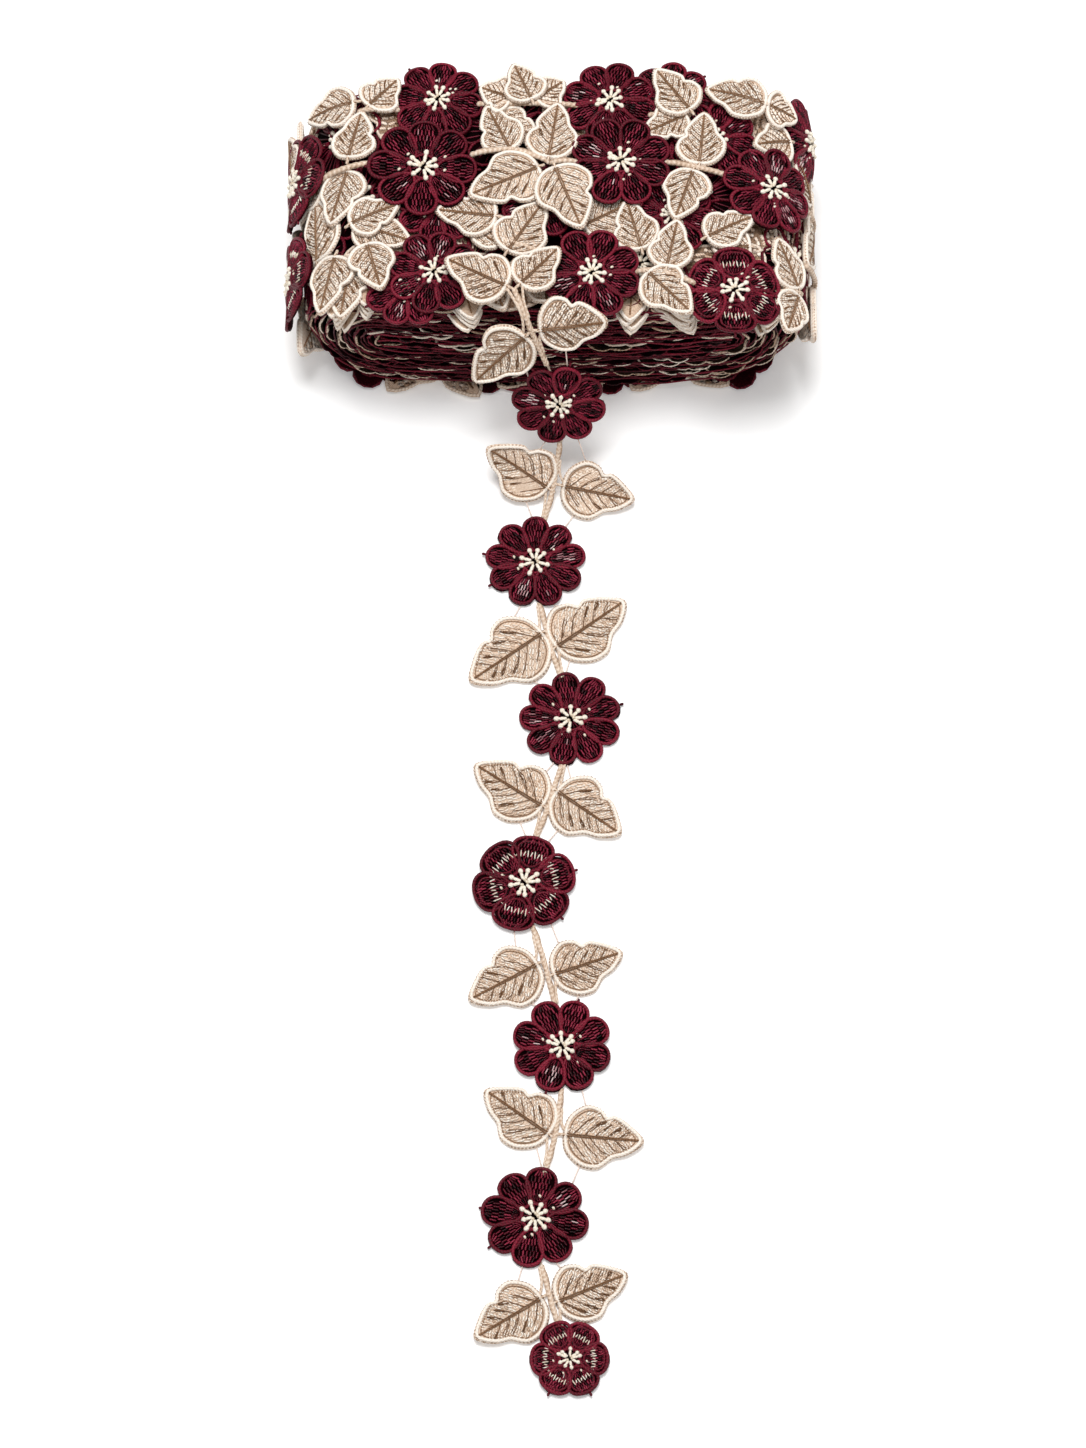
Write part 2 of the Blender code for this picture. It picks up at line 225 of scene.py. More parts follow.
def stitches(starts, ends, width, rise, tone):
    """Closed stitches from starts to ends, flat points of three columns.

    A stitch is a three-sided spindle: a point, a triangle at a fifth of its length, another at four fifths,
    and a point. The triangle has half the width to each side and the rise above it.
    """
    count = len(starts)
    run = ends - starts
    length = np.linalg.norm(run[:, :2], axis=1)
    square = unit(np.column_stack([-run[:, 1], run[:, 0], np.zeros(count)]))
    half = square * spread(width, count)[:, None] / 2
    up = np.column_stack([np.zeros((count, 2)), spread(rise, count)])
    low, high = starts + 0.2 * run, starts + 0.8 * run
    rings = [side for middle in (low, high) for side in (middle - half, middle + up, middle + half)]
    corners = np.stack([starts, *rings, ends + 0.3 * up], axis=1)
    share = np.array([0, 0.2, 0.2, 0.2, 0.8, 0.8, 0.8, 1.0])
    round_it = np.array([0.5, 0, 0.5, 1, 0, 0.5, 1, 0.5])
    yarn = np.stack([share * length[:, None] / MM, np.broadcast_to(round_it, (count, 8))], axis=2)
    faces = STITCH_FACES + 8 * np.arange(count)[:, None, None]
    return Body(
        corners.reshape(-1, 3), faces.reshape(-1, 3), yarn.reshape(-1, 2), np.repeat(spread(tone, count), 8))


def tube_faces(rings, sides, closed):
    """Triangles of a tube of rings, one after the other, its ends closed by two last points unless it is a
    loop."""
    last = rings if closed else rings - 1
    ring, side = np.meshgrid(np.arange(last), np.arange(sides), indexing="ij")
    ring, side = ring.ravel(), side.ravel()
    a = ring * sides + side
    b = ring * sides + (side + 1) % sides
    c = (ring + 1) % rings * sides + (side + 1) % sides
    d = (ring + 1) % rings * sides + side
    faces = [np.column_stack([a, b, c]), np.column_stack([a, c, d])]
    if not closed:
        one = np.arange(sides)
        two = (one + 1) % sides
        top = (rings - 1) * sides
        faces.append(np.column_stack([two, one, np.full(sides, rings * sides)]))
        faces.append(np.column_stack([top + one, top + two, np.full(sides, rings * sides + 1)]))
    return np.concatenate(faces)


def cord(path, radius, sides=5, closed=False, bead=0.0, bead_length=0.9 * MM, tone=0.5):
    """A closed cord along a flat path of three columns.

    Its profile is a circle of the radius, turned square to the path. The radius swells and thins as a sine
    of the distance along it, by the share bead, once in each bead length. Open ends draw in to a point.
    """
    if closed:
        step = np.roll(path, -1, axis=0) - np.roll(path, 1, axis=0)
    else:
        step = np.gradient(path, axis=0)
    step = unit(step)
    square = unit(np.column_stack([-step[:, 1], step[:, 0], np.zeros(len(path))]))
    up = np.cross(step, square)
    run = distance_along(path)
    thick = spread(radius, len(path)) * (1 + bead * np.sin(2 * np.pi * run / bead_length))
    angle = 2 * np.pi * np.arange(sides) / sides + np.pi / 2
    ring = np.cos(angle)[None, :, None] * square[:, None] + np.sin(angle)[None, :, None] * up[:, None]
    points = (path[:, None] + thick[:, None, None] * ring).reshape(-1, 3)
    yarn = np.stack([
        np.repeat(run[:, None] / MM, sides, axis=1),
        np.broadcast_to(np.arange(sides) / sides, (len(path), sides))], axis=2).reshape(-1, 2)
    if not closed:
        tips = path[[0, -1]] + [[-CORD_TIP], [CORD_TIP]] * step[[0, -1]] * thick[[0, -1], None]
        points = np.concatenate([points, tips])
        yarn = np.concatenate([yarn, [[0, 0.5], [run[-1] / MM, 0.5]]])
    return Body(points, tube_faces(len(path), sides, closed), yarn, np.full(len(points), float(tone)))


def stem_cord(path, radius, tone=0.55):
    """A stem: one thick beaded cord, and a thinner one on top that sways from side to side, as a sine."""
    run = distance_along(path)
    at = np.linspace(0, run[-1], max(int(run[-1] / STEM_STEP), 3))
    middle = np.column_stack([np.interp(at, run, path[:, i]) for i in range(3)])
    ahead = unit(np.gradient(middle[:, :2], axis=0))
    square = np.column_stack([-ahead[:, 1], ahead[:, 0]])
    sway = np.sin(2 * np.pi * at / STEM_TWIST)
    over = middle + raised(square * (0.62 * radius * sway)[:, None], 0.30 * radius)
    return joined([
        cord(middle, 0.86 * radius, sides=6, bead=0.10, bead_length=1.5 * MM, tone=tone),
        cord(over[::2], 0.40 * radius, sides=5, tone=tone - 0.30)])


def joined(bodies):
    """Several bodies as one: their points stacked and their faces counted on."""
    starts = np.cumsum([0] + [len(body.points) for body in bodies[:-1]])
    counted = [body._replace(faces=body.faces + start) for body, start in zip(bodies, starts)]
    return Body(*(np.concatenate(field) for field in zip(*counted)))


def grains(starts, ends, width, tone):
    """Plump closed grains from starts to ends: three six-sided rings, the middle one the widest, between
    two points."""
    made = []
    for start, end in zip(starts, ends):
        run = end - start
        path = np.array([start + share * run for share in (0.12, 0.5, 0.88)])
        made.append(cord(path, np.array([0.40, 0.5, 0.40]) * width, sides=6, tone=tone))
    return joined(made)


def plate(outline, bottom, top, rim, tone, sunk=0.4):
    """A thin closed plate: the outline at its bottom and top, drawn in by the rim's share to a sunk floor.

    The shares are of the distance to the outline's middle. The edge has the light tone and the floor the
    dark one. Under a motif's stitches the dark floor is partly painted shade in the gaps between them.
    """
    middle = outline.mean(axis=0)
    count = len(outline)
    high = top - bottom
    levels = ((0.96, bottom), (1.0, bottom + 0.4 * high), (0.975, top), (1 - rim, top - sunk * high))
    rings = []
    for share, height in levels:
        flat = middle + share * (outline - middle)
        rings.append(raised(flat, height))
    tips = np.array([[*middle, bottom], [*middle, top - sunk * high]])
    points = np.concatenate(rings + [tips])
    run = distance_along(outline) / MM
    across = np.repeat(np.arange(len(levels)) / len(levels), count)
    yarn = np.concatenate([np.column_stack([np.tile(run, len(levels)), across]), [[0, 0], [0, 1]]])
    light = np.concatenate([np.repeat([tone[1], tone[1], tone[1], tone[0]], count), [tone[0], tone[0]]])
    return Body(points, tube_faces(len(levels), count, False), yarn, light)


def cubic(before, here, after, beyond, share):
    """The Catmull-Rom rule: a cubic from here to after whose slope at each is half the way between its
    neighbours."""
    return 0.5 * (
        2 * here + (after - before) * share
        + (2 * before - 5 * here + 4 * after - beyond) * share ** 2
        + (3 * here - before - 3 * after + beyond) * share ** 3)


def smooth_loop(corners, steps):
    """A closed smooth curve through flat corners, with so many steps from each to the next."""
    share = (np.arange(steps) / steps)[None, :, None]
    around = (np.roll(corners, shift, axis=0)[:, None] for shift in (1, 0, -1, -2))
    return cubic(*around, share).reshape(-1, 2)


def smooth_line(stops, height, steps=8):
    """An open smooth curve through flat stops, all of it at one height."""
    stops = np.asarray(stops, float)
    ends = np.concatenate([[2 * stops[0] - stops[1]], stops, [2 * stops[-1] - stops[-2]]])
    share = (np.arange(steps) / steps)[None, :, None]
    around = (ends[i:len(ends) - 3 + i][:, None] for i in range(4))
    line = np.concatenate([cubic(*around, share).reshape(-1, 2), stops[-1:]])
    return raised(line, height)


print("a stitch has", len(STITCH_FACES), "faces")

# %% [markdown]
# A flower
#
# A flower has six to nine petals. Each petal is an egg-shaped cell: a raised cord goes round it, and fine
# stitches fan out inside it, with dark gaps between: the ground under them is dark yarn, painted near black
# as the shade in those gaps. In some petals a few pale stitches near the base are a painted sheen. In the
# middle sits a star of thick ivory knots. A six-petalled flower also has a second cord and a zigzag of
# ivory in each petal. The egg is a curve with one parameter: the cosine gives the distance from the middle
# and the sine the half width, fuller toward the outside. A flower deep in the pile is made more simply,
# with fewer points and three long stitches in each petal.

# %% Flower
FLOWER_RADIUS = 11.4 * MM
PETAL_CORD = 0.41 * MM
FLOWER_TOP = 1.05 * MM
THIN_TOP = 0.62 * MM
PETAL_INNER = 0.25
STITCH_RISE = 0.30 * MM
STAR_REACH = 0.305
RING_POINTS = 20
SPOKES = 18
ZIGZAG_STITCHES = 9
Piece = namedtuple("Piece", "kind body")
Ray = namedtuple("Ray", "inner outer width lift")
STAR_PARTS = (Ray(0.20, 0.80, 0.072, 0.0), Ray(0.70, 1.0, 0.106, 0.12 * MM))


def petal_width(share, full):
    """Half width of a petal at a share of its length: a half circle's rise, made fuller toward the outer
    end."""
    return full * 2 * np.sqrt(np.clip(share * (1 - share), 0, None)) * (0.52 + 0.48 * share) / 0.80


def from_petal(reach, aside, angle, height):
    """Points at a distance out along a petal's middle line and aside from it, turned to the petal's
    angle."""
    x = reach * np.cos(angle) - aside * np.sin(angle)
    y = reach * np.sin(angle) + aside * np.cos(angle)
    return np.column_stack([x, y, np.broadcast_to(height, x.shape)])


def flower_outline(petals, radius, steps):
    """Edge of a flower: round lobes, each the larger part of an arch between two notches."""
    turn = np.arange(petals * steps) / steps
    lobe = np.abs(np.sin(np.pi * turn)) ** 0.55
    reach = radius * (0.80 + 0.20 * lobe)
    angle = 2 * np.pi * turn / petals
    return np.column_stack([reach * np.cos(angle), reach * np.sin(angle)])


def petal_fill(angle, inner, outer, half, rows, columns, rng, sheen):
    """Fanned stitches of one petal: a grid of rows outward and columns across, each row's columns closing
    in as the petal narrows, every other row shifted by half a column. In a petal with sheen some stitches
    near its base are pale: a painted sheen, highlights painted into their colour."""
    row, column = np.meshgrid(np.arange(rows), np.arange(columns), indexing="ij")
    row, column = row.ravel(), column.ravel()
    aside = (column + 0.25 + 0.5 * (row % 2)) / columns * 2 - 1
    share = (row + rng.uniform(-0.15, 0.15, row.size)) / rows * 0.84 + 0.05
    ahead = share + 1.15 / rows
    points = []
    for at, lift in ((share, 0.0), (ahead, 0.05 * MM)):
        at = np.clip(at, 0.02, 0.985)
        side = aside * 0.75 * petal_width(at, half) + rng.normal(0, 0.04 * MM, row.size)
        points.append(from_petal(inner + at * (outer - inner), side, angle, FLOWER_TOP + lift))
    dark = rng.random(row.size) < 0.25
    tone = np.where(dark, rng.uniform(0.0, 0.2, row.size), rng.uniform(0.28, 0.85, row.size))
    width = np.clip(petal_width(share, half) / columns * 1.5, 0.24 * MM, 0.52 * MM)
    # Pale stitches near a petal's base are a painted sheen: highlights painted into the colour of the yarn.
    painted_sheen = (np.abs(share - 0.36) < 0.22) & (np.abs(aside) < 0.72) & (rng.random(row.size) < sheen)
    red = (points[0][~painted_sheen], points[1][~painted_sheen], width[~painted_sheen])
    made = [Piece("petal_fill", stitches(*red, STITCH_RISE, tone[~painted_sheen]))]
    if painted_sheen.any():
        light = (points[0][painted_sheen], points[1][painted_sheen], 0.8 * width[painted_sheen])
        made.append(Piece("petal_sheen", stitches(*light, STITCH_RISE, rng.uniform(0.1, 1.0, painted_sheen.sum()))))
    return made


def flower_star(radius, rng, height):
    """The ivory star: eight or so rays, each a thin shaft with a knob at its end, and loose small knots
    round them."""
    count = 8 + int(rng.integers(0, 2))
    angle = 2 * np.pi * (np.arange(count) + rng.uniform(0, 1)) / count + rng.normal(0, 0.10, count)
    far = STAR_REACH * radius * rng.uniform(0.80, 1.10, count)
    bodies = []
    for part in STAR_PARTS:
        ends = (from_petal(share * far, 0, angle, height + part.lift) for share in (part.inner, part.outer))
        bodies.append(grains(*ends, part.width * radius, 0.8))
    spots = rng.uniform(0, 2 * np.pi, 4)
    at = from_petal(rng.uniform(0.34, 0.46, 4) * radius, 0, spots, height - 0.25 * MM)
    nudge = np.array([0.03 * radius, 0.01 * radius, 0.0])
    bodies.append(grains(at - nudge, at + nudge, 0.055 * radius, 0.6))
    middle = np.array([[-0.05, 0.03, 0], [0.045, -0.05, 0], [0.01, 0.06, 0]]) * radius
    middle = middle + [0, 0, height + 0.1 * MM]
    bodies.append(grains(middle - nudge, middle + nudge, 0.075 * radius, 0.45))
    return joined(bodies)


def zigzag(angle, radius, petals, rng):
    """Ivory stitches across one petal, along an arc: short and long by turns and slanting to either side,
    as a row of W shapes."""
    odd = np.arange(ZIGZAG_STITCHES) % 2
    aside = np.linspace(-0.78, 0.78, ZIGZAG_STITCHES)
    half = 0.60 * radius * np.tan(np.pi / petals)
    arc = radius * (0.595 - 0.07 * aside ** 2)
    long = radius * np.where(odd, 0.085, 0.055) * rng.uniform(0.8, 1.2, ZIGZAG_STITCHES)
    slant = np.where(odd, 0.35, -0.35) * half / ZIGZAG_STITCHES
    height = FLOWER_TOP + 0.12 * MM
    ends = (from_petal(arc + way * long, aside * half + way * slant, angle, height) for way in (-1, 1))
    return stitches(*ends, 0.40 * MM, STITCH_RISE, rng.uniform(0.5, 0.95, ZIGZAG_STITCHES))


def flower(petals, size, rng, detail="fine"):
    """All the bodies of one flower, flat, round its own middle."""
    radius = FLOWER_RADIUS * size
    full = detail == "fine"
    edge = flower_outline(petals, radius * 0.985, 7 if full else 3)
    top = FLOWER_TOP if full else THIN_TOP
    # The near-black ground under the petals is partly painted shade in the gaps between the stitches.
    made = [Piece("flower_ground", plate(edge, PLATE_BOTTOM, top, 0.09, (0.02, 0.40)))]
    half = 0.72 * radius * np.tan(np.pi / petals) - 0.55 * PETAL_CORD
    inner = PETAL_INNER * radius
    turn = np.linspace(0, 2 * np.pi, 30 if full else 14, endpoint=False)
    share = (1 - np.cos(turn)) / 2
    aside = np.sign(np.sin(turn)) * petal_width(share, half)
    for petal in range(petals):
        angle = 2 * np.pi * (petal + 0.5) / petals + rng.normal(0, 0.015)
        outer = radius * rng.uniform(0.965, 1.02) - PETAL_CORD
        loop = from_petal(inner + share * (outer - inner), aside, angle, top + 0.10 * MM)
        loop[:, 2] += 0.12 * MM * (petal % 2)
        made.append(Piece("petal_cords", cord(
            loop, PETAL_CORD, sides=6 if full else 4, closed=True, bead=0.10 if full else 0.0,
            tone=rng.uniform(0.35, 0.75))))
        if not full:
            start = from_petal(inner, np.linspace(-0.2, 0.2, 3) * half, angle, top)
            end = from_petal(0.9 * outer, np.linspace(-0.6, 0.6, 3) * half, angle, top)
            long = stitches(start, end, 0.5 * MM, 0.2 * MM, rng.uniform(0.2, 0.6, 3))
            made.append(Piece("petal_fill", long))
            continue
        if petals == 6:
            middle = from_petal(np.array([0.62 * radius]), 0, angle, FLOWER_TOP + 0.05 * MM)[0]
            second = middle + 0.74 * (loop - middle)
            made.append(Piece("petal_cords", cord(second, 0.26 * MM, sides=4, closed=True, tone=0.5)))
            made.append(Piece("ivory_knots", zigzag(angle, radius, petals, rng)))
        rows, columns = (6, 9) if petals == 6 else (5, 6)
        sheen = 0.05 if petals == 6 else rng.choice([0.0, 0.08, 0.60], p=[0.5, 0.3, 0.2])
        made += petal_fill(angle, inner, outer, half, rows, columns, rng, sheen)
    if full:
        round_it = 2 * np.pi * np.arange(RING_POINTS) / RING_POINTS
        ring = from_petal(0.245 * radius, 0, round_it, FLOWER_TOP + 0.3 * MM)
        made.append(Piece("petal_cords", cord(ring, 0.32 * MM, sides=5, closed=True, bead=0.1, tone=0.6)))
        spokes = 2 * np.pi * (np.arange(SPOKES) + 0.5) / SPOKES
        ends = (from_petal(reach * radius, 0, spokes, FLOWER_TOP + 0.1 * MM) for reach in (0.05, 0.24))
        made.append(Piece("petal_fill", stitches(*ends, 0.42 * MM, 0.35 * MM, rng.uniform(0.1, 0.5, SPOKES))))
        nubs = 2 * np.pi * (rng.integers(0, petals, 2) + 0.5) / petals
        ends = (from_petal(radius + out, 0, nubs, 0.9 * MM) for out in mm(-0.3, 0.7))
        made.append(Piece("petal_cords", grains(*ends, 0.7 * MM, 0.4)))
    made.append(Piece("ivory_knots", flower_star(radius, rng, top + 0.45 * MM)))
    return made


trial = flower(8, 1.0, np.random.default_rng(1))
print("a fine flower of eight petals has", sum(len(piece.body.faces) for piece in trial), "faces")

# %% [markdown]
# A leaf
#
# A leaf is pointed, with a round base and a notch half way along each side. A thick cream cord runs round
# it, with a thin brown line inside that is painted shade in the gap between the cord and the fill. Short
# slanting stitches in cream and tan fill it, over a tan ground that is partly painted shade between them,
# and the midrib and side veins are brown. The edge is a smooth curve through a few stations, and everything
# inside is placed by shares of the half width, so that a bent or small leaf keeps its pattern.

# %% Leaf
LEAF_LENGTH = 19 * MM
LEAF_WIDTH = 14 * MM
LEAF_MIDDLE = 0.42
LEAF_TOP = 0.95 * MM
LEAF_CORD = 0.41 * MM
LEAF_EDGE_STITCHES = 62
STALK_RADIUS = 0.36 * MM
SHADE_LINE_INSET = 1.38 * MM
SIDE_VEINS = 5
PLAIN_FILL = (8, 3)
VEIN_SLANT = 0.75
LeafStation = namedtuple("LeafStation", "along right left")
LEAF_OUTLINE = [LeafStation(*shares) for shares in (
    (0.00, 0.00, 0.00), (0.05, 0.30, 0.27), (0.24, 0.50, 0.47), (0.43, 0.46, 0.50), (0.525, 0.335, 0.44),
    (0.64, 0.36, 0.31), (0.83, 0.22, 0.22), (1.00, 0.00, 0.00),
)]


def leaf_edge(length, width, steps):
    """The leaf's smooth edge, from its base up the right side to the tip and back down the left."""
    right = [(s.along * length, s.right * width) for s in LEAF_OUTLINE]
    left = [(s.along * length, -s.left * width) for s in LEAF_OUTLINE[-2:0:-1]]
    return smooth_loop(np.array(right + left), steps)


def leaf_half(along, side):
    """Half width of the leaf as a share of its width, at a share of its length, on the right (1) or the
    left (-1)."""
    stations = np.array([(s.along, s.right if side > 0 else s.left) for s in LEAF_OUTLINE])
    return np.interp(along, stations[:, 0], stations[:, 1])


def on_leaf(line, aside, side, length, width, height):
    """Points of a leaf at a share along its midrib, carried out along a slanting side vein by a share of
    the way to the edge. The vein moves forward by the slant times what it moves aside."""
    out = aside * leaf_half(np.clip(line + 0.12, 0, 1), side) * width
    along = line * length + VEIN_SLANT * out
    out = np.minimum(out, aside * leaf_half(np.clip(along / length, 0, 1), side) * width)
    return np.column_stack([along, side * out, np.broadcast_to(height, out.shape)])


def leaf_fill(length, width, side, rng, lines=19, steps=6, top=LEAF_TOP):
    """Slanting stitches of one side of a leaf: lines along the side veins, each a row of short stitches
    that lean to one side and then the other, every other line shifted by half a stitch."""
    line, step = np.meshgrid(np.arange(lines), np.arange(steps), indexing="ij")
    line, step = line.ravel(), step.ravel()
    start = 0.01 + 0.84 * (line + rng.uniform(-0.12, 0.12, line.size)) / lines
    aside = 0.04 + 0.80 * (step + 0.5 * (line % 2)) / steps
    lean = 0.010 * np.where(step % 2, 1, -1) + rng.normal(0, 0.005, line.size)
    first = on_leaf(start - lean, aside, side, length, width, top - 0.05 * MM)
    second = on_leaf(start + lean, aside + 0.88 / steps, side, length, width, top - 0.02 * MM)
    dark = rng.random(line.size) < 0.22
    tone = np.where(dark, rng.uniform(0.05, 0.35, line.size), rng.uniform(0.45, 1.0, line.size))
    width = rng.uniform(8.4, 11.0, line.size) / lines * MM
    return stitches(first, second, width, 0.24 * MM, tone)


def both_sides(length, width, rng, *rows):
    """The fill of both sides of a leaf."""
    return [Piece("leaf_fill", leaf_fill(length, width, side, rng, *rows)) for side in (1, -1)]


def edge_wraps(edge, rng):
    """Short slanting stitches over the edge all round: each starts outside the rim, just past the
    last, and ends inside it a little further along."""
    loop = np.concatenate([edge, edge[:1]])
    way = distance_along(loop)
    at = np.linspace(0, way[-1], LEAF_EDGE_STITCHES, endpoint=False)
    ahead = (at + 0.45 * MM) % way[-1]
    outer, inner = (np.column_stack([np.interp(here, way, axis) for axis in loop.T]) for here in (at, ahead))
    inner = inner + unit(edge.mean(axis=0) - inner) * 0.75 * MM
    outer, inner = raised(outer, LEAF_TOP - 0.15 * MM), raised(inner, LEAF_TOP + 0.05 * MM)
    return stitches(outer, inner, 0.62 * MM, 0.24 * MM, rng.uniform(0.15, 0.75, len(at)))


def vein(line, side, far, length, width, sway):
    """A thin strand along one side vein: a curve that bends toward the tip as it goes out, with a little
    sway."""
    share = np.linspace(0, 1, 5)
    start = np.full(5, line) + 0.05 * share ** 2 + sway * share
    return on_leaf(start, 0.03 + far * share, side, length, width, LEAF_TOP + 0.16 * MM)


def leaf_veins(length, width, rng):
    """The brown veins: two strands side by side along the midrib, and on each side five curved veins, some
    of them doubled or ending in a dark knot."""
    spine = np.linspace(0.0, 0.93, 14)
    made = []
    for side in (1, -1):
        aside = side * 0.25 * MM * (1 + 0.2 * np.sin(9 * np.pi * spine)) * np.sqrt(1.02 - spine)
        path = np.column_stack([spine * length, aside, np.full(14, LEAF_TOP + 0.30 * MM)])
        made.append(cord(path, 0.15 * MM, sides=4, tone=0.38))
        for number in range(SIDE_VEINS):
            line = 0.05 + 0.145 * (number + 0.35 * (side > 0)) + rng.normal(0, 0.010)
            far = rng.uniform(0.56, 0.74)
            first = vein(line, side, far, length, width, 0.0)
            made.append(cord(first, 0.12 * MM, sides=4, tone=rng.uniform(0.2, 0.45)))
            if rng.random() < 0.35:
                second = vein(line + 0.012, side, 0.8 * far, length, width, 0.02)
                made.append(cord(second[1:], 0.10 * MM, sides=4, tone=rng.uniform(0.3, 0.7)))
            tip = vein(line + 0.01, side, far, length, width, 0.01)
            if rng.random() < 0.4:
                made.append(stitches(tip[-3:-2], tip[-1:], 0.36 * MM, 0.18 * MM, 0.15))
    return joined(made)


def plain_veins(length, width, height):
    """The veins of a leaf that only shows in part: a midrib and three straight stitches on each side."""
    spine = np.array([[0.03 * length, 0, height], [0.85 * length, 0, height]])
    made = [cord(spine, 0.22 * MM, sides=4, tone=0.4)]
    for side in (1, -1):
        line = np.array([0.10, 0.30, 0.50])
        first = on_leaf(line, np.full(3, 0.05), side, length, width, height)
        second = on_leaf(line + 0.02, np.full(3, 0.66), side, length, width, height)
        made.append(stitches(first, second, 0.34 * MM, 0.2 * MM, 0.3))
    return joined(made)


def leaf(length, width, rng, detail="fine", stalk=0.0, back=False):
    """All the bodies of one leaf, flat, its base at the origin and its tip along the first axis. A leaf
    whose back shows has a rim, veins and a plain fill on that side too."""
    full = detail == "fine"
    edge = leaf_edge(length, width, 4 if full else 2)
    top = LEAF_TOP if full else THIN_TOP
    # The tan floor of the ground is partly painted shade between the fill stitches; it is darker on the
    # plainer leaves.
    made = [Piece("leaf_ground", plate(edge, PLATE_BOTTOM, top, 0.12, (0.52 if full else 0.30, 0.75), 0.14))]
    middle = np.array([LEAF_MIDDLE * length, 0])
    cord_line = middle + (1 - 2 * (LEAF_CORD + 0.22 * MM * full) / width) * (edge - middle)
    rim = raised(cord_line, top + 0.10 * MM * full)
    made.append(Piece("leaf_cords", cord(rim, LEAF_CORD, sides=6 if full else 4, closed=True, tone=0.85)))
    if back:
        underside = raised(cord_line, PLATE_BOTTOM)
        made.append(Piece("leaf_cords", cord(underside, LEAF_CORD, sides=4, closed=True, tone=0.7)))
        made.append(Piece("leaf_veins", plain_veins(length, width, 0.12 * MM)))
        made += both_sides(length, width, rng, *PLAIN_FILL, 0.22 * MM)
    if not full:
        made.append(Piece("leaf_veins", plain_veins(length, width, top)))
        if detail == "medium":
            made += both_sides(length, width, rng, *PLAIN_FILL, top)
        return made
    # The thin brown line just inside the cord is painted shade: the gap between the cord and the fill.
    inner = raised(middle + (1 - 2 * SHADE_LINE_INSET / width) * (edge - middle), LEAF_TOP + 0.08 * MM)
    made.append(Piece("leaf_veins", cord(inner, 0.14 * MM, sides=4, closed=True, tone=0.62)))
    made.append(Piece("leaf_wraps", edge_wraps(edge, rng)))
    made += both_sides(length, width, rng)
    made.append(Piece("leaf_veins", leaf_veins(length, width, rng)))
    if stalk:
        path = np.array([[-stalk, 0, 0.8 * MM], [0.04 * length, 0, LEAF_TOP + 0.25 * MM]])
        made.append(Piece("stems", cord(path, STALK_RADIUS, sides=6, tone=0.6)))
    return made


trial = leaf(LEAF_LENGTH, LEAF_WIDTH, np.random.default_rng(1))
print("a fine leaf has", sum(len(piece.body.faces) for piece in trial), "faces")

# %% [markdown]
# Setting a motif in the strip
#
# A flat motif is turned and moved to its place in the strip, bent a little as cloth is, and then taken
# round the bundle or along the loose end. Its bodies join the others of the same kind, and each kind
# becomes one piece.

# %% Setting
heaps = {}
# Painted light and shade for the leaves of each group: lighter on the outer turn, darker under it as in
# shade.
LEAF_LIGHT_AND_SHADE = {"bundle": 0.11, "loose_end": 0.03, "under": -0.25}


def in_strip(flat, centre, turn, mirror=1):
    """A motif's flat points where they lie in the strip: mirrored, turned and moved."""
    p, q = flat.T
    u = centre[0] + p * np.cos(turn) - mirror * q * np.sin(turn)
    v = centre[1] + p * np.sin(turn) + mirror * q * np.cos(turn)
    return np.column_stack([u, v])


def set_motif(group, pieces, centre, turn, place, lift=0.0, mirror=1, curl=0.0, cup=0.0, size=FLOWER_RADIUS):
    """Puts a flat motif in its place and adds it to the heaps of its group.

    Curl lifts a point by the square of its distance from the motif's origin along the first axis, and cup
    by the square of its distance all round, both as a share of the size. A mirror of -1 turns a leaf over
    its midrib. The leaves of a group shift their tone as a whole, as painted light and shade: those on the
    outer turn are painted lightest, those of the loose end a little less, and those under the outer turn
    are painted darker, as the shade they lie in.
    """
    for kind, body in pieces:
        p, q, h = body.points.T
        h = h + lift + curl * (p / size) ** 2 + cup * (p ** 2 + q ** 2) / size ** 2
        flat = in_strip(body.points[:, :2], centre, turn, mirror)
        faces = body.faces if mirror > 0 else body.faces[:, ::-1]
        shift = LEAF_LIGHT_AND_SHADE.get(group, 0.0) if kind.startswith("leaf") else 0.0
        placed = Body(place(raised(flat, h)), faces, body.yarn, body.tone + shift)
        heaps.setdefault(group, {}).setdefault(kind, []).append(placed)


def facing_out(group):
    """Flips the faces of bodies that a mapping turned inside out, found from the sign of their volume."""
    for bodies in heaps[group].values():
        for number, body in enumerate(bodies):
            a, b, c = (body.points[body.faces[:, i]] for i in range(3))
            middle = body.points.mean(axis=0)
            volume = np.einsum("ij,ij->i", a - middle, np.cross(b - middle, c - middle)).sum()
            if volume < 0:
                bodies[number] = body._replace(faces=body.faces[:, ::-1])


# %% [markdown]
# The loose end
#
# Seven flowers and eight leaf pairs follow each other on a winding stem, at the solid's places to within a
# few millimetres. A pair has one node on the stem, and each of its leaves may leave the stem a little
# before or after it.

